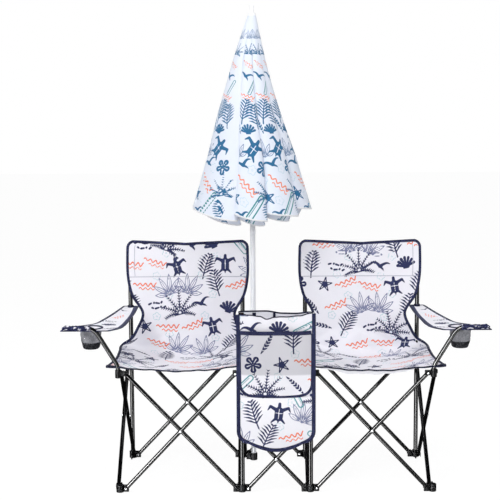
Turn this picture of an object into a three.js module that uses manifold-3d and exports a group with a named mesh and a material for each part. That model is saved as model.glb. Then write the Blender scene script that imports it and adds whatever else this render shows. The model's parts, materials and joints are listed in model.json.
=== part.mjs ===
import * as THREE from 'three';
import { mergeVertices } from 'three/addons/utils/BufferGeometryUtils.js';
import Module from 'manifold-3d';

const wasm = await Module();
wasm.setup();

// A folding camping loveseat: two quad-fold chairs side by side, an organiser bag hung between
// them and a closed umbrella standing behind the bag. Millimetres, +Z up, the front faces -Y.

// Frame, driving dimensions
const chairSpan = 380; // foot pin to foot pin of a large cross, across a chair and front to rear
const pinRise = 402; // foot pin up to hub pin of a large cross
const middleSpan = 193; // foot pin to foot pin of the two small crosses under the bag
const postToPin = 21.5; // centre of a post to the pins of its bracket
const footPinHeight = 15;
const barDiameter = 14;
const barWall = 1.2;
const barGap = 1; // between the two bars of a cross
const barOverhang = 6; // end of a bar past its pin
const rearPostDiameter = 16;
const frontPostDiameter = 19;
const postWall = 1.2;
const armTubeDiameter = 15;

// Clearances
const runningGap = 0.3; // a pin in its hole, a part on its seat
const slidingGap = 0.6; // a hub on its post
const fabricGap = 0.5; // cloth round a post or a hub
const cutOverrun = 5; // every cutting tool passes its work by this much
const shortestEdge = 0.02; // edges shorter than this are closed up after a cut

// Brackets: feet, hubs and sliders
const coreRadius = 13.5;
const footHeight = 27;
const hubBelowPin = 17;
const hubAbovePin = 18;
const sliderHalfHeight = 13;
const socketFloor = 4;
const lugThickness = 5.1;
const lugReach = 9; // lug past its pin
const lugHalfHeight = 11.5;
const lugCorner = 5;
const rivetRadius = 2.6;
const rivetHeadRadius = 4.8;
const rivetHeadHeight = 1.8;

// Umbrella
const poleDiameter = 19;
const poleWall = 1.2;
const poleAcross = 40; // pole to the right of the post that carries it
const poleForward = 33.5; // pole in front of that post
const poleJointHeight = 860;
const poleCollarRadius = 10.2;
const poleCollarHeight = 20;
const spigotLength = 60;
const canopyTop = 1662;
const umbrellaTop = 1701;
const finialRadius = 8;
const finialTipRadius = 5;
const crownDepth = 6; // the crown that carries the canopy reaches this far below its top
const finialNeckRadius = 6.5;
const canopyTopRadius = 16;
const canopyHemHeight = 946;
const canopyHemRadius = 219;
const canopyHemWave = 26; // the hem rises and falls by this much
const canopyThickness = 2;
const canopyRibs = 8;
const canopyFoldShare = 0.24; // depth of the folds, as a share of the radius
const canopyFoldStart = 0.4; // share of the height by which the folds are full
const canopyFoldWave = 0.5; // share of the hem's rise and fall that follows the folds
const canopyUneven = 0.3; // how much the folds differ from each other
const canopyTwist = 0.07; // how far the folds lean sideways at the hem
const canopySway = 13; // the cloth hangs this far to the left of the pole
const canopySwayShare = 0.72; // above this share of its height
const holderWall = 5;
const socketHeight = 38;
const ringHeight = 8;

// Sling of one chair
const clothThickness = 3;
const backTop = 833;
const backTopSag = 7;
const backOuterOverhang = 10.5; // cloth past the posts at the top of the back
const backInnerOverhang = 23;
const backSeamHeight = 700; // lower end of the post pockets
const waistHeight = 560;
const waistOuter = 168; // half widths of the waist on the outer and the inner side
const waistInner = 185;
const seatEdgeHeight = 442;
const seatRearOverhang = 34; // cloth past the outer posts, at the rear, midway and in front
const seatMidOverhang = 30;
const seatForeOverhang = 26;
const seatTabOverhang = 41;
const seatInnerOverhang = 14; // cloth past the inner posts, beside the bag
const creaseHeight = 412;
const creaseForward = 34;
const seatSagHeight = 400;
const seatFrontHeight = 426;
const seatFrontOverhang = 5;
const pocketWall = 2.2;
const shoulderShare = 0.72; // width between waist and shoulders, halfway up
const hipShare = 0.2; // where the back leaves the posts, as a share of seat edge to waist
const slingEdgeShare = 1.5; // how sharply the sling drops from its edges
const seatHoleGap = 6; // seat corner round the arm tube
const seatHoleTop = 24;

// Arm rests and cup holders
const armRearHeight = 584;
const armFrontHeight = 566;
const armSag = 6;
const armRearHalf = 26;
const armThickness = 3;
const armReach = 194; // tip of the arm rest past the outer post
const armFrontOverhang = 4;
const armRearOverhang = 14;
const armSlopeShare = 0.7; // the arm rest is level in front of this share of its length
const armSagShare = 0.5; // share of its rows that hang free and sag
const armTubeKneeHeight = 7; // first bend above the hub's top
const armTubeLean = 81; // second bend past the post
const armTubeShort = 14; // end of the tube short of the arm rest's tip
const armTubeKneeBend = 7;
const armTubeBend = 22;
const armSleeveWall = 2; // cloth round the level end of the tube
const armSleeveFrom = 106; // start of that sleeve past the post
const cupRadius = 38;
const cupFootRadius = 29.5;
const cupDepth = 72;
const cupWall = 2;
const cupFlange = 4;
const cupFlangeThickness = 1.6;
const cupAcross = 99; // cup axis past the outer post
const cupBehind = 56; // cup axis behind the front posts

// Organiser bag
const bagHalfWidth = 97;
const bagPanelHalf = 129;
const bagRim = 606;
const bagFloor = 405;
const bagDepth = 150;
const bagWall = 3;
const panelTop = 614;
const panelBottom = 151;
const panelCorner = 34;
const capTop = 630;
const capHeight = 34;
const pocketMouth = 552;
const pocketFoot = 334;
const pocketCorner = 42;
const pocketBulge = 16;
const pocketHalf = 122;
const pocketThickness = 2;
const pocketFullShare = 0.625; // share of a pocket's height, from its mouth, by which it is full
const lowerPocketMouth = 326;
const lowerPocketFoot = 160;
const lowerPocketBulge = 12;

// Rounding of the faceted forms
const barSides = 8;
const postSides = 12;
const coreSides = 12;
const pinSides = 5;
const headSides = 6;
const cupSides = 12;
const armTubeSides = 8;
const bendSteps = 3;
const cornerSteps = 6;
const slingSteps = [8, 19];
const armSteps = [4, 12];
const upperPocketSteps = [6, 8];
const lowerPocketSteps = [6, 6];
const canopySteps = [40, 8];

const quarterTurn = Math.PI / 2;

// Sizes worked out from the ones above
const barRadius = barDiameter / 2;
const barPitch = barDiameter + barGap;
const rearPostRadius = rearPostDiameter / 2;
const frontPostRadius = frontPostDiameter / 2;
const armTubeRadius = armTubeDiameter / 2;
const poleRadius = poleDiameter / 2;
const middleRise = (pinRise / chairSpan) * middleSpan;
const foldAngle = Math.atan2(pinRise, chairSpan);
const innerX = middleSpan / 2 + postToPin;
const outerX = innerX + chairSpan + 2 * postToPin;
const chairX = (innerX + outerX) / 2;
const postHalf = (outerX - innerX) / 2;
const rearY = chairSpan / 2 + postToPin;
const frontY = -rearY;
const hubPinHeight = footPinHeight + pinRise;
const sliderPinHeight = footPinHeight + middleRise;
const hubTop = hubPinHeight + hubAbovePin;
const poleX = -innerX + poleAcross;
const poleY = rearY - poleForward;
const barFaceDepth = barPitch / 2 + barRadius; // outer face of a bar from the plane of its cross
const crownRadius = canopyTopRadius - canopyThickness / 2 - runningGap;
const rivetDepth = barFaceDepth + runningGap + rivetHeadHeight;
const panelBack = frontY - rivetDepth - fabricGap;
const panelFront = panelBack - bagWall;
const rearPostTop = backTop - backTopSag - pocketWall - runningGap;
const frontPostTop = capTop - pocketWall - runningGap;

const paints = {
  steel: { color: 0x17181a, roughness: 0.38, metalness: 0.6 },
  nylon: { color: 0x1b1c1e, roughness: 0.55, metalness: 0 },
  cloth: { color: 0xe4e3ea, roughness: 0.9, metalness: 0 },
  net: { color: 0x9a9b9d, roughness: 0.9, metalness: 0 },
  pole: { color: 0xe9ebee, roughness: 0.3, metalness: 0.2 },
  canopy: { color: 0xdfe3ec, roughness: 0.85, metalness: 0 },
};
const materials = {};
for (const [name, paint] of Object.entries(paints)) {
  materials[name] = new THREE.MeshStandardMaterial({ ...paint, name });
}

// Solids

// merges a geometry's shared vertices and turns its faces outwards
function closedGeometry(geometry) {
  const bare = geometry.clone();
  bare.deleteAttribute('normal');
  bare.deleteAttribute('uv');
  const merged = mergeVertices(bare, 1e-4);
  const place = merged.attributes.position;
  const index = merged.index;
  const corner = [new THREE.Vector3(), new THREE.Vector3(), new THREE.Vector3()];
  let volume = 0;
  for (let i = 0; i < index.count; i += 3) {
    corner.forEach((c, k) => c.fromBufferAttribute(place, index.getX(i + k)));
    volume += corner[0].dot(corner[1].clone().cross(corner[2]));
  }
  if (volume < 0) {
    for (let i = 0; i < index.count; i += 3) {
      const first = index.getX(i);
      index.setX(i, index.getX(i + 1));
      index.setX(i + 1, first);
    }
  }
  return merged;
}

function toSolid(geometry) {
  const merged = closedGeometry(geometry);
  const triVerts = [];
  for (let i = 0; i < merged.index.count; i += 3) {
    const tri = [0, 1, 2].map((k) => merged.index.getX(i + k));
    if (new Set(tri).size === 3) triVerts.push(...tri);
  }
  const mesh = new wasm.Mesh({
    numProp: 3,
    vertProperties: new Float32Array(merged.attributes.position.array),
    triVerts: new Uint32Array(triVerts),
  });
  return new wasm.Manifold(mesh);
}

function toGeometry(solid) {
  const mesh = solid.simplify(shortestEdge).getMesh();
  const geometry = new THREE.BufferGeometry();
  geometry.setAttribute('position', new THREE.BufferAttribute(mesh.vertProperties, 3));
  geometry.setIndex(new THREE.BufferAttribute(mesh.triVerts, 1));
  return geometry;
}

function piece(name, shape, material) {
  const geometry = shape.isBufferGeometry ? closedGeometry(shape) : toGeometry(shape);
  geometry.computeVertexNormals();
  const mesh = new THREE.Mesh(geometry, material);
  mesh.name = name;
  return mesh;
}

// an upright cylinder from one height to another
function upright(radius, from, to, sides, x = 0, y = 0) {
  const geometry = new THREE.CylinderGeometry(radius, radius, to - from, sides);
  geometry.rotateX(Math.PI / 2);
  geometry.translate(x, y, (from + to) / 2);
  return toSolid(geometry);
}

// a cylinder along Y
function crosswise(radius, from, to, sides, x = 0, z = 0) {
  const geometry = new THREE.CylinderGeometry(radius, radius, Math.abs(to - from), sides);
  geometry.translate(0, (from + to) / 2, 0);
  const solid = toSolid(geometry);
  return solid.translate([x, 0, z]);
}

function block(x0, x1, y0, y1, z0, z1) {
  const geometry = new THREE.BoxGeometry(Math.abs(x1 - x0), Math.abs(y1 - y0), Math.abs(z1 - z0));
  geometry.translate((x0 + x1) / 2, (y0 + y1) / 2, (z0 + z1) / 2);
  return toSolid(geometry);
}

// a turned form about the upright axis, from a closed profile of [radius, height] points
function turned(profile, sides) {
  const points = profile.map(([r, h]) => new THREE.Vector2(r, h));
  const geometry = new THREE.LatheGeometry(points, sides);
  geometry.rotateX(Math.PI / 2);
  return toSolid(geometry);
}

// an open-ended upright tube
function uprightTube(outer, inner, from, to, sides) {
  const profile = [
    [inner, from],
    [outer, from],
    [outer, to],
    [inner, to],
    [inner, from],
  ];
  return turned(profile, sides);
}

// a thin closed solid about the surface point(u, v), u and v from 0 to 1
function sheet(point, uSteps, vSteps, thickness, round = false) {
  const columns = round ? uSteps : uSteps + 1;
  const rows = vSteps + 1;
  const grid = [];
  for (let j = 0; j < rows; j += 1) {
    for (let i = 0; i < columns; i += 1) grid.push(point(i / uSteps, j / vSteps));
  }
  const at = (i, j) => {
    const column = round ? (i + columns) % columns : THREE.MathUtils.clamp(i, 0, columns - 1);
    return grid[THREE.MathUtils.clamp(j, 0, rows - 1) * columns + column];
  };
  const position = [];
  for (const side of [0.5, -0.5]) {
    for (let j = 0; j < rows; j += 1) {
      for (let i = 0; i < columns; i += 1) {
        const along = at(i + 1, j).clone().sub(at(i - 1, j));
        const down = at(i, j + 1).clone().sub(at(i, j - 1));
        const normal = along.cross(down).normalize();
        const p = at(i, j).clone().addScaledVector(normal, side * thickness);
        position.push(p.x, p.y, p.z);
      }
    }
  }
  const layer = columns * rows;
  const index = [];
  const quad = (a, b, c, d) => index.push(a, b, c, a, c, d);
  const last = round ? columns : columns - 1;
  for (let j = 0; j < vSteps; j += 1) {
    for (let i = 0; i < last; i += 1) {
      const a = j * columns + i;
      const b = j * columns + ((i + 1) % columns);
      quad(a, a + columns, b + columns, b);
      quad(layer + a, layer + b, layer + b + columns, layer + a + columns);
    }
  }
  for (let i = 0; i < last; i += 1) {
    const b = (i + 1) % columns;
    const foot = vSteps * columns;
    quad(i, b, layer + b, layer + i);
    quad(foot + b, foot + i, layer + foot + i, layer + foot + b);
  }
  if (!round) {
    for (let j = 0; j < vSteps; j += 1) {
      const a = j * columns;
      const b = a + columns - 1;
      quad(a + columns, a, layer + a, layer + a + columns);
      quad(b, b + columns, layer + b + columns, layer + b);
    }
  }
  const geometry = new THREE.BufferGeometry();
  geometry.setAttribute('position', new THREE.Float32BufferAttribute(position, 3));
  geometry.setIndex(index);
  return toSolid(geometry);
}

// Crosses: two bars riveted at their middle

function barTube(length) {
  const tube = uprightTube(barRadius, barRadius - barWall, -length / 2, length / 2, barSides);
  return tube.rotate([0, 90, 0]);
}

// a hole whose flats clear the corners of the rivet in it
function pinHole(x) {
  const reach = barRadius + cutOverrun;
  const radius = (rivetRadius + runningGap / 2) / Math.cos(Math.PI / pinSides);
  return crosswise(radius, -reach, reach, pinSides, x);
}

// the bar that carries the middle rivet, which runs towards +Y through the other bar
function rivetedBar(pinToPin) {
  const far = barPitch + barRadius + runningGap;
  return barTube(pinToPin + 2 * barOverhang)
    .subtract(pinHole(-pinToPin / 2))
    .subtract(pinHole(pinToPin / 2))
    .add(crosswise(rivetRadius, -barRadius - rivetHeadHeight, far + rivetHeadHeight, pinSides))
    .add(crosswise(rivetHeadRadius, far, far + rivetHeadHeight, headSides));
}

function plainBar(pinToPin) {
  return barTube(pinToPin + 2 * barOverhang)
    .subtract(pinHole(-pinToPin / 2))
    .subtract(pinHole(0))
    .subtract(pinHole(pinToPin / 2));
}

const largeLength = Math.hypot(chairSpan, pinRise);
const largeBars = [rivetedBar(largeLength), plainBar(largeLength)];
const smallLength = Math.hypot(middleSpan, middleRise);
const smallBars = [rivetedBar(smallLength), plainBar(smallLength)];

// turn is the direction of a cross's own +X; its own -Y is its outer side, where the riveted bar is.
// With hand 1 the riveted bar rises towards +X, with hand -1 towards -X.
const crosses = [
  { name: 'front_left', x: -chairX, y: frontY, turn: 0, hand: 1 },
  { name: 'front_right', x: chairX, y: frontY, turn: 0, hand: 1 },
  { name: 'rear_left', x: -chairX, y: rearY, turn: Math.PI, hand: 1 },
  { name: 'rear_right', x: chairX, y: rearY, turn: Math.PI, hand: 1 },
  { name: 'side_outer_left', x: -outerX, y: 0, turn: -quarterTurn, hand: -1 },
  { name: 'side_inner_left', x: -innerX, y: 0, turn: quarterTurn, hand: -1 },
  { name: 'side_inner_right', x: innerX, y: 0, turn: -quarterTurn, hand: -1 },
  { name: 'side_outer_right', x: outerX, y: 0, turn: quarterTurn, hand: -1 },
  { name: 'front_middle', x: 0, y: frontY, turn: 0, hand: 1, small: true },
  { name: 'rear_middle', x: 0, y: rearY, turn: Math.PI, hand: -1, small: true },
];

function makeCross(cross) {
  const [riveted, plain] = cross.small ? smallBars : largeBars;
  const rise = cross.small ? middleRise : pinRise;
  const group = new THREE.Group();
  group.position.set(cross.x, cross.y, footPinHeight + rise / 2);
  group.rotation.z = cross.turn;
  const outer = piece(`bar_${cross.name}_riveted`, riveted, materials.steel);
  outer.position.y = -barPitch / 2;
  outer.rotation.y = -foldAngle * cross.hand;
  const inner = piece(`bar_${cross.name}_plain`, plain, materials.steel);
  inner.position.y = barPitch / 2;
  inner.rotation.y = foldAngle * cross.hand;
  group.add(outer, inner);
  return group;
}

// Brackets: every cross end adds one lug to the bracket at its post

const postColumns = {
  outer_left: -outerX,
  inner_left: -innerX,
  inner_right: innerX,
  outer_right: outerX,
};
const postRows = { front: frontY, rear: rearY };
const brackets = {};
for (const [row, y] of Object.entries(postRows)) {
  for (const [column, x] of Object.entries(postColumns)) {
    const bracket = { x, y, row, column, foot: [], hub: [], slider: [] };
    brackets[`${row}_${column}`] = bracket;
  }
}

function bracketNear(x, y) {
  return Object.values(brackets).find((b) => Math.hypot(b.x - x, b.y - y) < postToPin);
}

for (const cross of crosses) {
  const reach = (cross.small ? middleSpan : chairSpan) / 2 + postToPin;
  for (const end of [-1, 1]) {
    const x = cross.x + end * reach * Math.cos(cross.turn);
    const y = cross.y + end * reach * Math.sin(cross.turn);
    const bracket = bracketNear(x, y);
    const turn = end < 0 ? cross.turn : cross.turn + Math.PI;
    // the riveted bar is on the -Y side of its cross; in the lug's own frame, turned half round
    // at the +X end, that bar's low end and its high end come out on opposite sides
    bracket.foot.push({ turn, side: -cross.hand });
    bracket[cross.small ? 'slider' : 'hub'].push({ turn, side: cross.hand });
  }
}

// a lug and its pin, in the bracket's frame with the pin at height 0;
// side is the side of the lug's own Y on which the bar lies
function lug({ turn, side }, low, high) {
  const end = postToPin + lugReach;
  const outline = new THREE.Shape();
  outline.moveTo(0, low);
  outline.lineTo(end - lugCorner, low);
  outline.quadraticCurveTo(end, low, end, low + lugCorner);
  outline.lineTo(end, high - lugCorner);
  outline.quadraticCurveTo(end, high, end - lugCorner, high);
  outline.lineTo(0, high);
  const plate = new THREE.ExtrudeGeometry(outline, {
    depth: lugThickness,
    bevelEnabled: false,
    curveSegments: 1,
  });
  plate.rotateX(quarterTurn);
  const nearFace = barGap / 2 - runningGap;
  plate.translate(0, side > 0 ? nearFace : lugThickness - nearFace, 0);
  const farFace = lugThickness - nearFace;
  const pinEnd = farFace + rivetHeadHeight;
  const headFoot = rivetDepth - rivetHeadHeight;
  const solid = toSolid(plate)
    .add(crosswise(rivetRadius, -side * pinEnd, side * rivetDepth, pinSides, postToPin))
    .add(crosswise(rivetHeadRadius, side * headFoot, side * rivetDepth, headSides, postToPin));
  return solid.rotate([0, 0, THREE.MathUtils.radToDeg(turn)]);
}

function makeBracket(name, lugs, pinHeight, below, above, bore, lugLow = -lugHalfHeight, fitting = null) {
  let solid = upright(coreRadius, -below, above, coreSides);
  for (const each of lugs) solid = solid.add(lug(each, lugLow, lugHalfHeight));
  if (fitting) solid = solid.add(fitting);
  if (bore) solid = solid.subtract(upright(bore.radius, bore.from, bore.to, postSides));
  return { name, solid, pinHeight };
}

const poleBore = poleRadius + slidingGap;
const holderRadius = poleBore + holderWall;

function poleHole(from, to) {
  return upright(poleBore, from, to, postSides, poleAcross, -poleForward);
}

// the umbrella's socket, moulded on the foot that carries it, clear of the side bar
function umbrellaSocket() {
  const floor = -footPinHeight;
  const back = barGap / 2 - runningGap - lugThickness / 2;
  const barSide = poleAcross - holderRadius;
  return block(barSide, poleAcross, -poleForward, back, floor, lugHalfHeight)
    .add(upright(holderRadius, floor, floor + socketHeight, coreSides, poleAcross, -poleForward))
    .subtract(poleHole(floor + socketFloor, floor + socketHeight + cutOverrun));
}

// a ring that steadies the umbrella's pole, above the ends of the bars
function umbrellaRing() {
  const low = hubAbovePin - ringHeight;
  const reach = Math.hypot(poleAcross, poleForward);
  const turn = -THREE.MathUtils.radToDeg(Math.atan2(poleForward, poleAcross));
  return block(0, reach, -holderWall, holderWall, low, hubAbovePin)
    .rotate([0, 0, turn])
    .add(upright(holderRadius, low, hubAbovePin, coreSides, poleAcross, -poleForward))
    .subtract(poleHole(low - cutOverrun, hubAbovePin + cutOverrun));
}

function makeBrackets() {
  const group = new THREE.Group();
  const place = (bracket, made) => {
    const mesh = piece(made.name, made.solid, materials.nylon);
    mesh.position.set(bracket.x, bracket.y, made.pinHeight);
    group.add(mesh);
  };
  for (const [key, bracket] of Object.entries(brackets)) {
    const front = bracket.row === 'front';
    const postless = front && bracket.column.startsWith('outer');
    const carriesUmbrella = key === 'rear_inner_left';
    const postRadius = front ? frontPostRadius : rearPostRadius;
    const floor = socketFloor - footPinHeight;
    const seat = { radius: postRadius + runningGap, from: floor, to: footHeight };
    const slide = { radius: postRadius + slidingGap, from: -footHeight, to: footHeight };
    const armFloor = socketFloor - hubBelowPin;
    const armSeat = { radius: armTubeRadius + runningGap, from: armFloor, to: footHeight };
    const foot = makeBracket(
      `foot_${key}`,
      bracket.foot,
      footPinHeight,
      footPinHeight,
      footHeight - footPinHeight,
      postless ? null : seat,
      -footPinHeight,
      carriesUmbrella ? umbrellaSocket() : null,
    );
    const hub = makeBracket(
      `hub_${key}`,
      bracket.hub,
      hubPinHeight,
      hubBelowPin,
      hubAbovePin,
      postless ? armSeat : slide,
      -lugHalfHeight,
      carriesUmbrella ? umbrellaRing() : null,
    );
    place(bracket, foot);
    place(bracket, hub);
    if (bracket.slider.length) {
      const slider = makeBracket(
        `slider_${key}`,
        bracket.slider,
        sliderPinHeight,
        sliderHalfHeight,
        sliderHalfHeight,
        slide,
      );
      place(bracket, slider);
    }
  }
  return group;
}

// Posts and arm tubes

function makePosts() {
  const group = new THREE.Group();
  const foot = socketFloor + runningGap;
  for (const [key, bracket] of Object.entries(brackets)) {
    const front = bracket.row === 'front';
    if (front && bracket.column.startsWith('outer')) continue;
    const radius = front ? frontPostRadius : rearPostRadius;
    const top = front ? frontPostTop : rearPostTop;
    const tube = uprightTube(radius, radius - postWall, foot, top, postSides);
    const mesh = piece(`post_${key}`, tube, materials.steel);
    mesh.position.set(bracket.x, bracket.y, 0);
    group.add(mesh);
  }
  return group;
}

// the points of a route of straight runs with rounded corners
function roundedRoute(points, bends) {
  const route = [points[0]];
  for (let i = 1; i < points.length - 1; i += 1) {
    const corner = points[i];
    const bend = bends[i - 1];
    const start = corner.clone().add(points[i - 1].clone().sub(corner).setLength(bend));
    const end = corner.clone().add(points[i + 1].clone().sub(corner).setLength(bend));
    route.push(...new THREE.QuadraticBezierCurve3(start, corner, end).getPoints(bendSteps));
  }
  route.push(points[points.length - 1]);
  return route;
}

// the arm tube leaves its hub upright, leans outwards and ends level in the arm rest's front sleeve
const armTubeTopHeight = armFrontHeight + armThickness / 2 + runningGap + armTubeRadius;
const armTubeEnd = armReach - armTubeShort;

function makeArmTube(side) {
  const seat = hubPinHeight - hubBelowPin + socketFloor + runningGap;
  const knee = hubTop + armTubeKneeHeight;
  const route = roundedRoute(
    [
      new THREE.Vector3(0, 0, seat),
      new THREE.Vector3(0, 0, knee),
      new THREE.Vector3(side * armTubeLean, 0, armTubeTopHeight),
      new THREE.Vector3(side * armTubeEnd, 0, armTubeTopHeight),
    ],
    [armTubeKneeBend, armTubeBend],
  );
  const radius = armTubeRadius - postWall / 2;
  const point = (u, v) => {
    const i = Math.round(v * (route.length - 1));
    const before = route[Math.max(0, i - 1)];
    const after = route[Math.min(route.length - 1, i + 1)];
    const along = after.clone().sub(before).normalize();
    const sideways = new THREE.Vector3(along.z, 0, -along.x);
    const turn = 2 * Math.PI * u;
    return route[i]
      .clone()
      .addScaledVector(sideways, radius * Math.sin(turn))
      .add(new THREE.Vector3(0, radius * Math.cos(turn), 0));
  };
  const tube = sheet(point, armTubeSides, route.length - 1, postWall, true);
  const mesh = piece(`arm_tube_${side < 0 ? 'left' : 'right'}`, tube, materials.steel);
  mesh.position.set(side * outerX, frontY, 0);
  return mesh;
}

// Slings

// one row across the sling: half widths on the outer and inner side, depth and height of the
// edges, and depth and height of the middle
function slingRow(outer, inner, edgeY, edgeZ, middleY, middleZ) {
  return { outer, inner, edge: [edgeY, edgeZ], middle: [middleY, middleZ] };
}

function slingCurves() {
  const outer = postHalf + backOuterOverhang;
  const inner = postHalf + backInnerOverhang;
  const rearOuter = postHalf + seatRearOverhang;
  const midOuter = postHalf + seatMidOverhang;
  const foreOuter = postHalf + seatForeOverhang;
  const frontOuter = postHalf + seatTabOverhang;
  const seatInner = postHalf + seatInnerOverhang;
  const face = rearY - rearPostRadius - clothThickness / 2; // cloth on the front of the posts
  const hipHeight = seatEdgeHeight + (waistHeight - seatEdgeHeight) * hipShare;
  const flankHeight = (waistHeight + seatEdgeHeight) / 2;
  const flankOuter = (waistOuter + postHalf) / 2;
  const flankInner = (waistInner + postHalf) / 2;
  const shoulderHeight = (backSeamHeight + waistHeight) / 2;
  const shoulderOuter = THREE.MathUtils.lerp(waistOuter, outer, shoulderShare);
  const shoulderInner = THREE.MathUtils.lerp(waistInner, inner, shoulderShare);
  const front = frontY - seatFrontOverhang;
  const table = [
    slingRow(outer, inner, face, backTop, face, backTop - backTopSag),
    slingRow(outer, inner, face, backSeamHeight, rearY, backSeamHeight),
    slingRow(shoulderOuter, shoulderInner, face, shoulderHeight, rearY, shoulderHeight),
    slingRow(waistOuter, waistInner, face, waistHeight, rearY, waistHeight),
    slingRow(flankOuter, flankInner, face, flankHeight, rearY, flankHeight),
    slingRow(postHalf, postHalf, face - fabricGap, hipHeight, face, flankHeight - creaseForward),
    slingRow(rearOuter, seatInner, rearY, seatEdgeHeight, rearY - creaseForward, creaseHeight),
    slingRow(midOuter, seatInner, rearY / 3, seatEdgeHeight, rearY / 3, seatSagHeight),
    slingRow(foreOuter, seatInner, frontY / 3, seatEdgeHeight, frontY / 3, seatSagHeight),
    slingRow(frontOuter, seatInner, front, seatEdgeHeight, front, seatFrontHeight),
  ];
  const curve = (pick) => new THREE.CatmullRomCurve3(table.map(pick), false, 'centripetal');
  return {
    outer: curve((r) => new THREE.Vector3(r.outer, ...r.edge)),
    inner: curve((r) => new THREE.Vector3(r.inner, ...r.edge)),
    middle: curve((r) => new THREE.Vector3(0, ...r.middle)),
  };
}

// u runs from the outer edge to the inner edge, v from the top of the back to the seat's front
function slingPoint(curves, side, u, v) {
  const across = 2 * u - 1;
  const edge = (across < 0 ? curves.outer : curves.inner).getPoint(v);
  const middle = curves.middle.getPoint(v);
  const sag = (1 - across * across) ** slingEdgeShare;
  const y = THREE.MathUtils.lerp(edge.y, middle.y, sag);
  const z = THREE.MathUtils.lerp(edge.z, middle.z, sag);
  return new THREE.Vector3(-side * across * edge.x, y, z);
}

function makeSling(side) {
  const curves = slingCurves();
  const round = coreRadius + fabricGap;
  const low = hubPinHeight - hubBelowPin;
  const high = hubTop + fabricGap;
  let solid = sheet((u, v) => slingPoint(curves, side, u, v), ...slingSteps, clothThickness);
  const pocketInner = rearPostRadius + runningGap;
  const pocketTop = backTop - backTopSag;
  for (const end of [-1, 1]) {
    const x = end * postHalf;
    solid = solid
      .add(upright(pocketInner + pocketWall, backSeamHeight, pocketTop, postSides, x, rearY))
      .subtract(upright(pocketInner, seatSagHeight, pocketTop - pocketWall, postSides, x, rearY))
      .subtract(upright(round, low, high, coreSides, x, rearY));
    const outer = end === side;
    const through = outer ? armTubeRadius + seatHoleGap : frontPostRadius + fabricGap;
    solid = solid
      .subtract(upright(through, hubPinHeight, hubTop + seatHoleTop, postSides, x, frontY))
      .subtract(upright(round, low, high, coreSides, x, frontY));
  }
  const mesh = piece(`sling_${side < 0 ? 'left' : 'right'}`, solid, materials.cloth);
  mesh.position.x = side * chairX;
  return mesh;
}

// Arm rests and cup holders

// rows from the rear post to the front: share of the way forward, and how far the inner and the
// outer edge lie past the outer post
const armRows = [
  { forward: 0, inner: -armRearHalf, outer: armRearHalf },
  { forward: 0.31, inner: -25, outer: 52 },
  { forward: 0.53, inner: -19, outer: 76 },
  { forward: 0.68, inner: -15, outer: 100 },
  { forward: 0.77, inner: -11, outer: 142 },
  { forward: 0.88, inner: -3, outer: 186 },
  { forward: 1, inner: 30, outer: armReach },
];

function armCurves() {
  const from = rearY + armRearOverhang;
  const to = frontY - armFrontOverhang;
  const point = (x, forward) => {
    const slope = Math.min(1, forward / armSlopeShare);
    const z = THREE.MathUtils.lerp(armRearHeight, armFrontHeight, slope);
    return new THREE.Vector3(x, THREE.MathUtils.lerp(from, to, forward), z);
  };
  const inner = armRows.map((row) => point(row.inner, row.forward));
  const outer = armRows.map((row) => point(row.outer, row.forward));
  return {
    inner: new THREE.CatmullRomCurve3(inner, false, 'centripetal'),
    outer: new THREE.CatmullRomCurve3(outer, false, 'centripetal'),
  };
}

function makeArmRest(side) {
  const curves = armCurves();
  const point = (u, v) => {
    const place = curves.inner.getPoint(v).lerp(curves.outer.getPoint(v), u);
    const sag = armSag * Math.sin(Math.PI * u) * Math.sin(Math.PI * Math.min(1, v / armSagShare));
    return new THREE.Vector3(side * place.x, place.y, place.z - sag);
  };
  const bore = armTubeRadius + runningGap;
  const along = (radius, start, end) =>
    crosswise(radius, start, end, armTubeSides).rotate([0, 0, -90]).translate([0, frontY, armTubeTopHeight]);
  const notch = [side * (armTubeLean - 3 * armTubeRadius), side * armSleeveFrom];
  const solid = sheet(point, ...armSteps, armThickness)
    .subtract(upright(rearPostRadius + runningGap, 0, rearPostTop, postSides, 0, rearY))
    .subtract(
      upright(cupRadius + runningGap, 0, rearPostTop, cupSides, side * cupAcross, frontY + cupBehind),
    )
    .add(along(bore + armSleeveWall, side * armSleeveFrom, side * armTubeEnd))
    .subtract(along(bore, side * (armSleeveFrom - cutOverrun), side * (armTubeEnd + cutOverrun)))
    .subtract(block(...notch, frontY - rearPostDiameter, frontY + bore, 0, rearPostTop));
  const mesh = piece(`arm_rest_${side < 0 ? 'left' : 'right'}`, solid, materials.cloth);
  mesh.position.x = side * outerX;
  return mesh;
}

function makeCupHolder(side) {
  const flangeFoot = armThickness / 2 + runningGap;
  const flangeTop = flangeFoot + cupFlangeThickness;
  const profile = [
    [0, -cupDepth],
    [cupFootRadius, -cupDepth],
    [cupRadius, 0],
    [cupRadius, flangeFoot],
    [cupRadius + cupFlange, flangeFoot],
    [cupRadius + cupFlange, flangeTop],
    [cupRadius - cupWall, flangeTop],
    [cupRadius - cupWall, 0],
    [cupFootRadius - cupWall, cupWall - cupDepth],
    [0, cupWall - cupDepth],
  ];
  const mesh = piece(`cup_holder_${side < 0 ? 'left' : 'right'}`, turned(profile, cupSides), materials.net);
  mesh.position.set(side * (outerX + cupAcross), frontY + cupBehind, armFrontHeight);
  return mesh;
}

// Organiser bag

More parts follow.
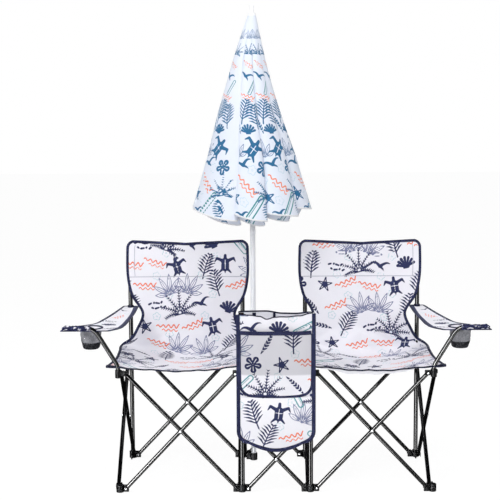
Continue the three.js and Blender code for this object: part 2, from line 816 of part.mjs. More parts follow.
// an upright panel with rounded lower corners, from face towards the back
function panel(halfWidth, foot, top, corner, face, thickness) {
  const outline = new THREE.Shape();
  outline.moveTo(-halfWidth, top);
  outline.lineTo(-halfWidth, foot + corner);
  outline.quadraticCurveTo(-halfWidth, foot, corner - halfWidth, foot);
  outline.lineTo(halfWidth - corner, foot);
  outline.quadraticCurveTo(halfWidth, foot, halfWidth, foot + corner);
  outline.lineTo(halfWidth, top);
  const plate = new THREE.ExtrudeGeometry(outline, {
    depth: thickness,
    bevelEnabled: false,
    curveSegments: cornerSteps,
  });
  plate.rotateX(quarterTurn);
  plate.translate(0, face + thickness, 0);
  return toSolid(plate);
}

function makeBag() {
  const back = panelFront + bagDepth;
  const box = block(-bagHalfWidth, bagHalfWidth, panelFront, back, bagFloor, bagRim);
  const inside = block(
    bagWall - bagHalfWidth,
    bagHalfWidth - bagWall,
    panelBack,
    back - bagWall,
    bagFloor + bagWall,
    panelTop + cutOverrun,
  );
  let solid = panel(bagPanelHalf, panelBottom, panelTop, panelCorner, panelFront, bagWall)
    .add(box)
    .subtract(inside);
  const capInner = frontPostRadius + runningGap;
  const capFoot = capTop - capHeight;
  for (const side of [-1, 1]) {
    const x = side * innerX;
    const tie = block(x - capInner, x + capInner, panelFront, frontY - capInner / 2, capFoot, capTop);
    solid = solid
      .add(upright(capInner + pocketWall, capFoot, capTop, postSides, x, frontY))
      .add(tie)
      .subtract(upright(capInner, capFoot - cutOverrun, capTop - pocketWall, postSides, x, frontY));
  }
  return piece('organiser_bag', solid, materials.cloth);
}

// a pocket's front: flat on the panel at its sides and foot, standing off at its mouth
function pocketFace(halfWidth, foot, mouth, corner, bulge) {
  const face = panelFront - runningGap - pocketThickness / 2;
  return (u, v) => {
    const across = 2 * u - 1;
    const rise = Math.min(1, ((mouth - foot) * (1 - v)) / corner);
    const narrow = corner * (1 - Math.sqrt(Math.max(0, 1 - (1 - rise) ** 2)));
    const x = across * (halfWidth - narrow);
    const swell = (1 - across ** 4) * Math.sin((Math.PI / 2) * Math.min(1, (1 - v) / pocketFullShare));
    return new THREE.Vector3(x, face - bulge * swell, THREE.MathUtils.lerp(mouth, foot, v));
  };
}

function makePockets() {
  const group = new THREE.Group();
  const upper = pocketFace(pocketHalf, pocketFoot, pocketMouth, pocketCorner, pocketBulge);
  const lower = pocketFace(pocketHalf, lowerPocketFoot, lowerPocketMouth, panelCorner, lowerPocketBulge);
  group.add(piece('pocket_upper', sheet(upper, ...upperPocketSteps, pocketThickness), materials.net));
  group.add(piece('pocket_lower', sheet(lower, ...lowerPocketSteps, pocketThickness), materials.cloth));
  return group;
}

// Umbrella

// the closed canopy: a cone whose cloth hangs in one fold between each pair of ribs
function canopyPoint(u, v) {
  const around = 2 * Math.PI * u;
  const fold = Math.cos(canopyRibs * around);
  const drift = Math.cos(2 * around) + Math.sin(3 * around) / 2;
  const wave = (1 - canopyFoldWave) * drift - canopyFoldWave * fold;
  const height = THREE.MathUtils.lerp(canopyTop, canopyHemHeight, v) + v * v * canopyHemWave * wave;
  const radius = THREE.MathUtils.lerp(canopyTopRadius, canopyHemRadius, v);
  const depth = canopyFoldShare * Math.min(1, v / canopyFoldStart);
  const swing = 1 + depth * (fold - 1 + canopyUneven * v * drift);
  const turn = around + canopyTwist * v * Math.sin(canopyRibs * around + 2 * drift);
  const sway = canopySway * Math.sin(Math.PI * Math.min(1, v / canopySwayShare));
  const reach = radius * swing;
  return new THREE.Vector3(reach * Math.cos(turn) - sway, reach * Math.sin(turn), height);
}

function makeUmbrella() {
  const group = new THREE.Group();
  group.position.set(poleX, poleY, 0);
  const inner = poleRadius - poleWall;
  const lower = uprightTube(poleRadius, inner, socketFloor + runningGap, poleJointHeight, postSides);
  group.add(piece('umbrella_pole_lower', lower, materials.pole));
  const collarFrom = poleJointHeight + runningGap;
  const spigotFoot = poleJointHeight - spigotLength;
  const tip = [
    [0, umbrellaTop],
    [finialTipRadius, umbrellaTop],
    [finialRadius, umbrellaTop - finialRadius / 2],
    [finialNeckRadius, canopyTop + finialRadius],
    [crownRadius, canopyTop + finialRadius],
    [crownRadius, canopyTop - crownDepth],
    [poleRadius, canopyTop - crownDepth],
    [poleRadius, collarFrom + poleCollarHeight],
    [poleCollarRadius, collarFrom + poleCollarHeight],
    [poleCollarRadius, collarFrom],
    [inner - slidingGap, collarFrom],
    [inner - slidingGap, spigotFoot],
    [inner - slidingGap - poleWall, spigotFoot],
    [inner - slidingGap - poleWall, canopyTop],
    [0, canopyTop],
  ];
  group.add(piece('umbrella_pole_upper', turned(tip, postSides), materials.pole));
  const canopy = sheet(canopyPoint, ...canopySteps, canopyThickness, true);
  group.add(piece('umbrella_canopy', canopy, materials.canopy));
  return group;
}

// The whole

const loveseat = new THREE.Group();
for (const cross of crosses) loveseat.add(makeCross(cross));
loveseat.add(makeBrackets(), makePosts());
for (const side of [-1, 1]) {
  loveseat.add(makeArmTube(side), makeSling(side), makeArmRest(side), makeCupHolder(side));
}
loveseat.add(makeBag(), makePockets(), makeUmbrella());

// the origin is the middle of the whole object's footprint
const whole = new THREE.Group();
whole.add(loveseat);
const middle = new THREE.Box3().setFromObject(loveseat, true).getCenter(new THREE.Vector3());
loveseat.position.set(-middle.x, -middle.y, 0);

export default whole;
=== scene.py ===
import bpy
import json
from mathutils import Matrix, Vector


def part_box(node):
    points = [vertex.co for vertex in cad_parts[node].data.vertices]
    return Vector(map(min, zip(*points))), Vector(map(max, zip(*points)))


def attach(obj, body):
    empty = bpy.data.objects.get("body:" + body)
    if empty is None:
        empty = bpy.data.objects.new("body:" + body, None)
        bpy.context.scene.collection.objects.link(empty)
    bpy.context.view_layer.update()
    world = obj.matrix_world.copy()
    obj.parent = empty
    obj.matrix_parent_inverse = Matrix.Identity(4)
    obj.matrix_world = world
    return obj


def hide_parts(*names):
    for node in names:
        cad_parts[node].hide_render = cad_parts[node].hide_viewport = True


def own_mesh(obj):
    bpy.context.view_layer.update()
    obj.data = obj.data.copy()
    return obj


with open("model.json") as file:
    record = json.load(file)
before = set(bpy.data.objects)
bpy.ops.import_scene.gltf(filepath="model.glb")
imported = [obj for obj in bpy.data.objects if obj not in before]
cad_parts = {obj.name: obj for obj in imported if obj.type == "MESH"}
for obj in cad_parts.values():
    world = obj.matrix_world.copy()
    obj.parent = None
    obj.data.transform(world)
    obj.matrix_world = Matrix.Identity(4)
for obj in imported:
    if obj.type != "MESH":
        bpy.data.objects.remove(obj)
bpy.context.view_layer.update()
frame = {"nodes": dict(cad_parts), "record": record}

import json
import math

import bpy
import numpy as np
from mathutils import Matrix, Vector

# A folding camping loveseat: two chairs, an organiser bag between them and a closed umbrella.
# Shapes are worked out in millimetres about a point midway between the posts, +Z up, the front
# towards -Y, and moved into the frame when a piece is made.

print("loveseat: measuring the frame")

leftRight = ((-1, "left"), (1, "right"))


# The middle of a node's box in millimetres: half the sum of its corners, times 1000.
def centreOf(node):
    low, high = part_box(node)
    return (np.array(low) + np.array(high)) * 500


frameSizes = {
    "postToPin": 21.5,
    "footPin": 15.0,
    "hubPin": 417.0,
    "barRadius": 7.0,
    "barOffset": 7.5,
    "barOverhang": 6.0,
    "rearPostRadius": 8.0,
    "frontPostRadius": 9.5,
    "armTubeRadius": 7.5,
}
rearLeftPost = centreOf("post_rear_inner_left")
frontLeftPost = centreOf("post_front_inner_left")
farLeftPost = centreOf("post_rear_outer_left")
rearY = (rearLeftPost[1] - frontLeftPost[1]) / 2
frontY = -rearY
shiftY = rearLeftPost[1] - rearY
innerX = -rearLeftPost[0]
outerX = -farLeftPost[0]
chairX = (innerX + outerX) / 2
postHalf = (outerX - innerX) / 2
middleSpan = 2 * (innerX - frameSizes["postToPin"])
chairSpan = 2 * (postHalf - frameSizes["postToPin"])
pinRise = frameSizes["hubPin"] - frameSizes["footPin"]
middleRise = pinRise / chairSpan * middleSpan
sliderPin = frameSizes["footPin"] + middleRise


# Meshes

# Each row over its own length.
def unit(rows):
    length = np.linalg.norm(rows, axis=-1, keepdims=True)
    return rows / np.maximum(length, 1e-9)


# Faces of a grid of points laid out row by row. A closed side joins its last line to its first.
def gridFaces(rows, columns, closeRows=False, closeColumns=False):
    j, i = np.meshgrid(
        np.arange(rows if closeRows else rows - 1),
        np.arange(columns if closeColumns else columns - 1),
        indexing="ij",
    )
    j, i = j.ravel(), i.ravel()
    down, right = (j + 1) % rows, (i + 1) % columns
    return np.column_stack(
        [j * columns + i, j * columns + right, down * columns + right, down * columns + i]
    )


# One part from a grid of points, rows x columns x 3. Its ends can be closed by a fan to their
# middle, and flip turns its faces round.
def gridPart(points, closeRows=False, closeColumns=False, capEnds=False, finish=0, fields=None, flip=False):
    rows, columns = points.shape[:2]
    places = points.reshape(-1, 3)
    quads = gridFaces(rows, columns, closeRows, closeColumns)
    if flip:
        quads = quads[:, ::-1]
    fans = np.zeros((0, 3), int)
    if capEnds:
        middles = np.array([points[0].mean(0), points[-1].mean(0)])
        places = np.concatenate([places, middles])
        ring = np.arange(columns)
        after = (ring + 1) % columns
        first, last = rows * columns, rows * columns + 1
        foot = (rows - 1) * columns
        fans = np.concatenate([
            np.column_stack([after, ring, 0 * ring + first]),
            np.column_stack([foot + ring, foot + after, 0 * ring + last]),
        ])
    return {"points": places, "quads": quads, "fans": fans, "finish": finish, "fields": fields}


# A closed outline of (side, up) points carried along a path. At each point of the path its own
# direction and the given up direction, made square to it, place the outline.
def carriedPart(path, up, outline, finish=0, closed=False, scale=None):
    path = np.asarray(path, float)
    up = np.broadcast_to(np.asarray(up, float), path.shape)
    if closed:
        along = np.roll(path, -1, 0) - np.roll(path, 1, 0)
    else:
        along = np.gradient(path, axis=0)
    along = unit(along)
    side = unit(np.cross(along, up))
    rise = np.cross(side, along)
    outline = np.asarray(outline, float)
    size = np.ones(len(path)) if scale is None else np.asarray(scale, float)
    points = (
        path[:, None]
        + side[:, None] * (outline[None, :, :1] * size[:, None, None])
        + rise[:, None] * (outline[None, :, 1:] * size[:, None, None])
    )
    return gridPart(points, closeRows=closed, closeColumns=True, capEnds=not closed, finish=finish)


# Points at given turns on a circle of radius one: their cosine and sine.
def circleOf(turn):
    return np.column_stack([np.cos(turn), np.sin(turn)])


# Evenly spaced points on a circle.
def ringOutline(radius, sides):
    return radius * circleOf(np.linspace(0, 2 * np.pi, sides, endpoint=False))


# A turned form: each (distance along the axis, radius) of the profile is a circle round the axis.
# A profile that starts and ends at radius nought closes in a fan there.
def turnedPart(base, axis, profile, sides=24, finish=0, closed=False):
    base, axis = np.asarray(base, float), unit(np.asarray(axis, float))
    helper = np.array([0.0, 0.0, 1.0]) if abs(axis[2]) < 0.9 else np.array([1.0, 0.0, 0.0])
    first = unit(np.cross(helper, axis))
    second = np.cross(axis, first)
    profile = np.asarray(profile, float)
    turn = np.linspace(0, 2 * np.pi, sides, endpoint=False)
    circle = first[None] * np.cos(turn)[:, None] + second[None] * np.sin(turn)[:, None]
    rows = profile if closed else profile[1:-1]
    points = base + axis * rows[:, None, :1] + circle[None] * rows[:, None, 1:]
    part = gridPart(points, closeRows=closed, closeColumns=True, capEnds=not closed, finish=finish)
    if not closed:
        part["points"][-2:] = base + axis * profile[[0, -1], :1]
    return part


# A block with round edges: the points of a ball, each pushed out along X, Y and Z by the block's
# half size less the radius, on its own side of the middle.
def roundedPart(centre, half, radius, turn=0.0, finish=0, steps=4):
    quarter = np.linspace(0, np.pi / 2, steps + 1)
    around = np.concatenate([quarter + k * np.pi / 2 for k in range(4)])
    rise = np.concatenate([quarter - np.pi / 2, quarter])
    signX = np.repeat([1, -1, -1, 1], steps + 1)
    signY = np.repeat([1, 1, -1, -1], steps + 1)
    signZ = np.repeat([-1, 1], steps + 1)
    core = np.asarray(half, float) - radius
    x = radius * np.cos(rise)[:, None] * np.cos(around)[None] + core[0] * signX[None]
    y = radius * np.cos(rise)[:, None] * np.sin(around)[None] + core[1] * signY[None]
    z = radius * np.sin(rise)[:, None] + core[2] * signZ[:, None] + 0 * around[None]
    c, s = math.cos(turn), math.sin(turn)
    points = np.stack([c * x - s * y, s * x + c * y, z], -1) + np.asarray(centre, float)
    return gridPart(points, closeColumns=True, capEnds=True, finish=finish)


# A wall's thickness. Its inner side takes the material after the outer side's.
def thicken(piece, millimetres):
    thick = piece.modifiers.new("thickness", "SOLIDIFY")
    thick.thickness = millimetres / 1000
    thick.offset = 0
    thick.material_offset = 1


# A soft line through points (x, height): straight runs eased into each other.
def softLine(x, knots, heights):
    at = np.clip(np.searchsorted(knots, x) - 1, 0, len(knots) - 2)
    knots, heights = np.asarray(knots, float), np.asarray(heights, float)
    share = np.clip((x - knots[at]) / (knots[at + 1] - knots[at]), 0, 1)
    return heights[at] + (heights[at + 1] - heights[at]) * share**2 * (3 - 2 * share)


# One object from its parts, in the frame's metres. It rides on a body and stands for CAD nodes.
def makePiece(name, parts, finishes, body, stands=(), sharp=40):
    offset, places, corners, sizes, finish, fields = 0, [], [], [], [], []
    for part in parts:
        places.append(part["points"])
        for faces in (part["quads"], part["fans"]):
            if len(faces):
                corners.append((faces + offset).ravel())
                sizes.append(np.full(len(faces), faces.shape[1]))
                finish.append(np.full(len(faces), part["finish"]))
        if part["fields"] is not None:
            fields.append(part["fields"])
        offset += len(part["points"])
    places = (np.concatenate(places) + [0, shiftY, 0]) / 1000
    corners = np.concatenate(corners).astype(np.int32)
    sizes = np.concatenate(sizes).astype(np.int32)
    mesh = bpy.data.meshes.new(name)
    mesh.vertices.add(len(places))
    mesh.vertices.foreach_set("co", places.astype(np.float32).ravel())
    mesh.loops.add(len(corners))
    mesh.loops.foreach_set("vertex_index", corners)
    mesh.polygons.add(len(sizes))
    mesh.polygons.foreach_set("loop_start", np.concatenate([[0], np.cumsum(sizes)[:-1]]).astype(np.int32))
    mesh.polygons.foreach_set("material_index", np.concatenate(finish).astype(np.int32))
    mesh.update(calc_edges=True)
    mesh.validate()
    if fields:
        addFields(mesh, np.concatenate(fields))
    mesh.polygons.foreach_set("use_smooth", np.ones(len(mesh.polygons), bool))
    mesh.set_sharp_from_angle(angle=math.radians(sharp))
    for each in finishes:
        mesh.materials.append(each)
    piece = bpy.data.objects.new(name, mesh)
    bpy.context.scene.collection.objects.link(piece)
    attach(piece, body)
    if stands:
        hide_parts(*stands)
    return piece


# The print's distances and the cloth's flat place, as attributes of the points.
def addFields(mesh, values):
    ink = mesh.attributes.new("ink", "FLOAT_COLOR", "POINT")
    ink.data.foreach_set("color", values[:, :4].astype(np.float32).ravel())
    pale = mesh.attributes.new("paleInk", "FLOAT", "POINT")
    pale.data.foreach_set("value", values[:, 4].astype(np.float32))
    flat = mesh.attributes.new("flat", "FLOAT_VECTOR", "POINT")
    place = np.column_stack([values[:, 5:7], 0 * values[:, 5]])
    flat.data.foreach_set("vector", place.astype(np.float32).ravel())


# Centripetal curve through points, share from 0 to 1, the same steps for every stretch.
def smoothCurve(points, share):
    points = np.asarray(points, float)
    count = len(points) - 1
    place = np.clip(share, 0, 1) * count
    at = np.minimum(place.astype(int), count - 1)
    w = (place - at)[:, None]
    ends = np.concatenate([[2 * points[0] - points[1]], points, [2 * points[-1] - points[-2]]])
    p0, p1, p2, p3 = (ends[at + k] for k in range(4))
    d0, d1, d2 = (
        np.maximum(np.linalg.norm(end - start, axis=1), 1e-8)[:, None] ** 0.5
        for start, end in ((p0, p1), (p1, p2), (p2, p3))
    )
    t1 = ((p1 - p0) / d0 - (p2 - p0) / (d0 + d1) + (p2 - p1) / d1) * d1
    t2 = ((p2 - p1) / d1 - (p3 - p1) / (d1 + d2) + (p3 - p2) / d2) * d1
    return p1 + t1 * w + (-3 * p1 + 3 * p2 - 2 * t1 - t2) * w**2 + (2 * p1 - 2 * p2 + t1 + t2) * w**3


# The length of a path up to each of its points.
def lengthAlong(path):
    return np.concatenate([[0], np.cumsum(np.linalg.norm(np.diff(path, axis=0), axis=1))])


# The print: each motif is a bundle of tapered strokes, and the point's distance to the nearest
# stroke is kept, so that the cloth's material can cut a sharp edge anywhere on it.

printSizes = {
    "pitch": 90.0,  # motif to motif, mm
    "lineShare": 0.86,  # line to line, as a share of the pitch
    "far": 8.0,  # distances past this are all alike
    "reach": 74.0,  # no motif reaches further from its middle
    "scale": 1.15,
}


# Strokes from starts to ends, with a radius at either end.
def taperedLines(starts, ends, first, last):
    full = np.ones(len(starts))
    return np.column_stack([starts, ends, first * full, last * full])


# Strokes that follow one another through points, with one radius or one for each point.
def bentLine(points, radii):
    points = np.asarray(points, float)
    radii = np.broadcast_to(np.asarray(radii, float), len(points))
    return taperedLines(points[:-1], points[1:], radii[:-1], radii[1:])


# A palm frond: the stem bends as the square of its length. Its leaflets stand in pairs, longest at
# two fifths of its height, and thicken to their knee, then thin to the tip.
def frond():
    share = np.linspace(0, 1, 9)
    strokes = [bentLine(np.column_stack([9 * share**2, 84 * share - 42]), 2.3 - 1.2 * share)]
    place = np.linspace(0.2, 0.96, 7)
    for side in (-1, 1):
        root = np.column_stack([9 * place**2, 84 * place - 42])
        reach = 30 * np.sin(np.pi * (0.22 + 0.78 * place) ** 1.1) ** 0.8 + 7
        lean = np.radians(54 + 4 * place)
        tip = root + np.column_stack([side * reach * np.sin(lean), reach * np.cos(lean)])
        knee = (root + tip) / 2 + np.column_stack([0 * reach, reach * 0.09])
        strokes += [taperedLines(root, knee, 1.2, 2.8), taperedLines(knee, tip, 2.8, 0.6)]
    return np.concatenate(strokes), None


# A fern: stems that arch out from one root, each with short leaves on both sides.
def fern():
    strokes = []
    share = np.linspace(0, 1, 8)
    for lean, reach in zip(np.radians([-80, -50, -22, 6, 33, 58, 86]), [44, 54, 62, 66, 60, 52, 42]):
        bend = lean * (1 + 0.45 * share)
        steps = np.column_stack([np.sin(bend), np.cos(bend)]) * reach / 7
        stem = np.array([0, -24.0]) + np.cumsum(steps, axis=0)
        strokes.append(bentLine(stem, 2.0 - 1.2 * share))
        for side in (-1, 1):
            turn = bend[1:] + side * 0.95
            leaf = np.column_stack([np.sin(turn), np.cos(turn)]) * (13 - 6 * share[1:, None])
            strokes.append(taperedLines(stem[1:], stem[1:] + leaf, 1.9, 0.6))
    strokes.append(np.array([[-16, -27, 18, -26, 2.6, 1.4]]))
    return np.concatenate(strokes), None


# A turtle: a thick body, a head, bent front flippers, straight hind ones and a tail, with a cross
# of slits in its shell.
def turtle():
    body = [
        (0, -9, 0, 8, 13, 13), (0, 22, 0, 29, 5.2, 4.6), (10, 12, 27, 20, 5.5, 4),
        (27, 20, 34, 8, 4, 1.4), (-10, 12, -27, 20, 5.5, 4), (-27, 20, -34, 8, 4, 1.4),
        (9, -16, 20, -27, 4.4, 2), (-9, -16, -20, -27, 4.4, 2), (0, -22, 0, -29, 2.6, 0.8),
    ]
    slits = [(0, -15, 0, 14, 1.1, 1.1), (-10, 2, 10, 2, 1.1, 1.1)]
    return np.array(body, float), np.array(slits, float)


# A starfish: five arms 72 degrees apart that taper outwards, each with a slit along it.
def starfish():
    tips = 23 * circleOf(np.radians(90 + 72 * np.arange(5)))
    return taperedLines(0 * tips, tips, 8.0, 2.4), taperedLines(tips * 0.45, tips * 0.72, 1.5, 0.9)


# A scallop shell: seven ribs fan out from its foot and widen, the longest in the middle, on a bar.
def shell():
    turn = np.radians(np.linspace(22, 158, 7))
    far = 32 * (0.86 + 0.14 * np.sin(turn))[:, None] * circleOf(turn)
    ribs = taperedLines(0 * far + [0, -14], far + [0, -14], 1.0, 4.6)
    return np.concatenate([ribs, [[-8, -15, 8, -15, 2.6, 2.6]]]), None


# A feather: one thick stroke, thin at both ends, cut by six pairs of slanting slits.
def feather():
    body = bentLine([[0, -40], [1.5, -12], [0, 14], [-3, 40]], [1.2, 7.6, 6.2, 0.8])
    place = np.linspace(-26, 26, 6)
    root, tip = np.column_stack([0 * place, place - 3]), np.column_stack([0 * place + 9, place + 5])
    vein = taperedLines(root, tip, 1.1, 1.4)
    return body, np.concatenate([vein, vein * [-1, 1, -1, 1, 1, 1]])


# A gull: two wings that rise and fall as a sine of their length and thin outwards, and a body.
def gull():
    share = np.linspace(0, 1, 7)
    left = np.column_stack([-34 * share, 13 * np.sin(2.5 * share) - 4 * share])
    right = np.column_stack([34 * share, 17 * np.sin(2.2 * share) - 1 * share])
    taper = 4.8 * (1 - share) ** 0.7 + 0.6
    body = bentLine([[-9, 3], [0, 1], [11, -6], [17, -13]], [1.4, 4.2, 3.0, 0.6])
    return np.concatenate([bentLine(left, taper), bentLine(right, taper), body]), None


# A hibiscus: five petals, each a stroke that widens outwards, with a slit along it.
def hibiscus():
    way = circleOf(np.radians(54 + 72 * np.arange(5)))
    return taperedLines(way * 5, way * 17, 4, 9.2), taperedLines(way * 6, way * 19, 1.0, 1.5)


# Pebbles: two rows of short strokes, each its half length to either side of its place, as it leans.
def pebbles():
    column = np.array([-22, -9, 3, 16, -15, -1, 12, 24])
    row = np.array([8, 10, 7, 9, -7, -9, -6, -8])
    length = np.array([4, 1, 5, 2, 2, 5, 1, 3])
    lean = np.radians([20, 80, -15, 60, -30, 10, 70, 35])
    half = length[:, None] * circleOf(lean)
    place = np.column_stack([column, row])
    return taperedLines(place - half, place + half, 3.4, 2.8), None


# Two water lines: the upper is a sine that swings wider as it goes on, the lower an even one.
def ripple():
    share = np.linspace(0, 1, 25)
    wave = 6.5 * np.sin(8.5 * np.pi * share) * (0.5 + 0.6 * share)
    upper = np.column_stack([74 * share - 37, wave + 5])
    lower = np.column_stack([50 * share - 18, 3.6 * np.sin(6 * np.pi * share) - 8])
    return np.concatenate([bentLine(upper, 1.9), bentLine(lower, 1.5)]), None


# A long outline with a half circle at each end and straight sides, and a line along its inside.
def reed():
    turn = np.linspace(-np.pi / 2, np.pi / 2, 9)
    end = np.column_stack([33 + 7.6 * np.cos(turn), 7.6 * np.sin(turn)])
    loop = np.concatenate([end, -end, end[:1]])
    return np.concatenate([bentLine(loop, 1.8), [[-30, 2.6, 31, 2.6, 1.0, 1.0]]]), None


# A bloom: a closed line round a small circle. Its distance from the middle is 15 plus 6.5 times the
# size of the cosine of 2.5 times its angle.
def bloom():
    turn = np.linspace(0, 2 * np.pi, 61)
    reach = 15 + 6.5 * np.abs(np.cos(2.5 * turn))
    petals = bentLine(reach[:, None] * circleOf(turn), 1.7)
    return np.concatenate([petals, bentLine(4 * circleOf(turn), 1.4)]), None


# A sprig: six leaves fan out from one root, each two lines bowed apart by half a sine wave, with a
# third between them.
def sprig():
    strokes = []
    share = np.linspace(0, 1, 7)
    root = np.array([0, -30.0])
    for turn, reach in zip(np.radians([18, 47, 76, 105, 134, 163]), [30, 42, 52, 50, 44, 31]):
        way = np.array([np.cos(turn), np.sin(turn)])
        off = np.array([-way[1], way[0]])
        for side in (-1, 1):
            line = root + way * (10 + (reach + 8) * share)[:, None]
            line = line + off * (side * 6.5 * np.sin(np.pi * share))[:, None]
            strokes.append(bentLine(line, 1.3))
        strokes.append(bentLine(root + way * ((reach + 4) * share)[:, None], 1.1))
    return np.concatenate(strokes), None


# motif, and the ink that prints it: navy, coral, teal, thin grey-blue lines, pale teal
motifs = {
    "frond": (frond, 0),
    "fern": (fern, 0),
    "turtle": (turtle, 0),
    "starfish": (starfish, 0),
    "shell": (shell, 0),
    "feather": (feather, 0),
    "gull": (gull, 0),
    "hibiscus": (hibiscus, 0),
    "pebbles": (pebbles, 0),
    "ripple": (ripple, 1),
    "reed": (reed, 2),
    "sprig": (sprig, 3),
    "bloom": (bloom, 4),
}
motifOrder = (
    "fern ripple gull reed frond sprig turtle feather ripple shell hibiscus pebbles frond sprig "
    "ripple turtle reed starfish fern ripple feather sprig frond"
).split()


# The distance from each place to the nearest stroke: to the closest point along it, less the radius
# there, which runs evenly from one end's to the other's. It is negative inside.
def strokeDistance(x, y, strokes):
    ax, ay, bx, by, ra, rb = (c[None, :] for c in strokes.T)
    px, py = x[:, None] - ax, y[:, None] - ay
    dx, dy = bx - ax, by - ay
    share = np.clip((px * dx + py * dy) / np.maximum(dx * dx + dy * dy, 1e-9), 0, 1)
    return (np.hypot(px - share * dx, py - share * dy) - (ra + share * (rb - ra))).min(1)


# Where the motifs stand on cloth at flat places s across and t along, mm: in rows set off by half
# a pitch, each a little out of line and turned, with small pale blooms between them.
def motifPlaces(s, t, seed):
    rng = np.random.default_rng(seed)
    pitch, size, lineShare = printSizes["pitch"], printSizes["scale"], printSizes["lineShare"]
    rows = int(np.ptp(t) / (pitch * lineShare)) + 3
    columns = int(np.ptp(s) / pitch) + 3
    places = []
    for row in range(rows):
        for column in range(columns):
            kind = motifOrder[(column * 7 + row * 10 + 3 * seed) % len(motifOrder)]
            shift = rng.uniform(-0.1, 0.1, 2) * pitch
            lean = rng.uniform(-24, 24) + (rng.choice([-50, 50]) if kind in ("feather", "reed") else 0)
            x = s.min() + (column - 0.5 + 0.5 * (row % 2)) * pitch + shift[0]
            y = t.min() + (row - 0.5) * pitch * lineShare + shift[1]
            places.append((kind, x, y, lean, size))
            if (row + column) % 2 == 0:
                places.append(("bloom", x + pitch * 0.5, y + pitch * 0.42, lean, size * 0.62))
    return places


# The distances from those places to the motifs of every ink, then the flat place itself.
def printFields(s, t, seed=0, places=None):
    s, t = np.asarray(s, float).ravel(), np.asarray(t, float).ravel()
    fields = np.full((len(s), 5), printSizes["far"])
    for name, middleS, middleT, lean, scale in places or motifPlaces(s, t, seed):
        near = np.flatnonzero(np.hypot(s - middleS, t - middleT) < printSizes["reach"] * scale)
        if not len(near):
            continue
        c, w = math.cos(math.radians(lean)), math.sin(math.radians(lean))
        x, y = (s[near] - middleS) / scale, (t[near] - middleT) / scale
        x, y = c * x + w * y, c * y - w * x
        shape, ink = motifs[name]
        strokes, slits = shape()
        distance = strokeDistance(x, y, strokes)
        if slits is not None:
            distance = np.maximum(distance, -strokeDistance(x, y, slits))
        fields[near, ink] = np.minimum(fields[near, ink], distance * scale)
    return np.column_stack([fields, s / 1000, t / 1000])


# Materials

# A hex colour in sRGB turned to linear: over 12.92 where it is dark, and otherwise a power of 2.4.
def linear(hexColour):
    value = hexColour.lstrip("#")
    srgb = np.array([int(value[k:k + 2], 16) for k in (0, 2, 4)]) / 255
    flat = np.where(srgb <= 0.04045, srgb / 12.92, ((srgb + 0.055) / 1.055) ** 2.4)
    return (*flat.tolist(), 1.0)


# Adds a node with its settings. An input is given a number, a hex colour, a socket to link, or a
# node, of which it takes the first output. Map Range reads the range in its inputs 1 and 2 and
# gives the one in 3 and 4. Mix has its two colours in 6 and 7 and gives their mix as output 2.
def addNode(tree, kind, inputs=None, **settings):
    node = tree.nodes.new(kind)
    for key, value in settings.items():
        setattr(node, key, value)
    for key, value in (inputs or {}).items():
        if isinstance(value, bpy.types.Node):
            value = value.outputs[0]
        if isinstance(value, bpy.types.NodeSocket):
            tree.links.new(value, node.inputs[key])
        else:
            node.inputs[key].default_value = linear(value) if isinstance(value, str) else value
    return node


# An empty material and its node tree.
def newMaterial(name):
    material = bpy.data.materials.new(name)
    material.use_nodes = True
    material.node_tree.nodes.clear()
    return material, material.node_tree


# A colour that goes over to a second one while a value runs from low to high, up to the share most.
def patched(tree, value, low, high, most, first, second):
    share = addNode(tree, "ShaderNodeMapRange", {0: value, 1: low, 2: high, 4: most})
    return addNode(tree, "ShaderNodeMix", {0: share, 6: first, 7: second}, data_type="RGBA").outputs[2]


# Powder-coated steel tube: near black and glossy, with a faint orange peel that breaks up its
# thin highlights, and a little dust that greys it in patches.
def powderCoat(name, colour, dusty, rough):
    material, tree = newMaterial(name)
    place = addNode(tree, "ShaderNodeTexCoord").outputs["Object"]
    peel = addNode(tree, "ShaderNodeTexNoise", {"Vector": place, "Scale": 650.0, "Detail": 2.0})
    cloud = addNode(tree, "ShaderNodeTexNoise", {"Vector": place, "Scale": 18.0, "Detail": 4.0})
    surface = addNode(tree, "ShaderNodeBsdfPrincipled", {
        "Base Color": patched(tree, cloud, 0.45, 0.75, 1.0, colour, dusty),
        "Roughness": addNode(tree, "ShaderNodeMapRange", {
            0: cloud, 1: 0.3, 2: 0.7, 3: rough, 4: rough + 0.04,
        }),
        "Specular IOR Level": 0.5,
        "Normal": addNode(tree, "ShaderNodeBump", {"Height": peel, "Strength": 0.004, "Distance": 0.0003}),
    })
    addNode(tree, "ShaderNodeOutputMaterial", {"Surface": surface})
    return material


# Moulded glass-filled nylon: black, with the fine grain of the mould and paler scuffs in patches.
def mouldedNylon(name):
    material, tree = newMaterial(name)
    place = addNode(tree, "ShaderNodeTexCoord").outputs["Object"]
    grain = addNode(tree, "ShaderNodeTexNoise", {"Vector": place, "Scale": 1400.0, "Detail": 1.0})
    cloud = addNode(tree, "ShaderNodeTexNoise", {"Vector": place, "Scale": 60.0, "Detail": 3.0})
    surface = addNode(tree, "ShaderNodeBsdfPrincipled", {
        "Base Color": patched(tree, cloud, 0.4, 0.8, 1.0, "#0b0b0c", "#1b1c1e"),
        "Roughness": addNode(tree, "ShaderNodeMapRange", {0: cloud, 1: 0.3, 2: 0.7, 3: 0.34, 4: 0.5}),
        "Specular IOR Level": 0.12,
        "Normal": addNode(tree, "ShaderNodeBump", {"Height": grain, "Strength": 0.25, "Distance": 0.0002}),
    })
    addNode(tree, "ShaderNodeOutputMaterial", {"Surface": surface})
    return material


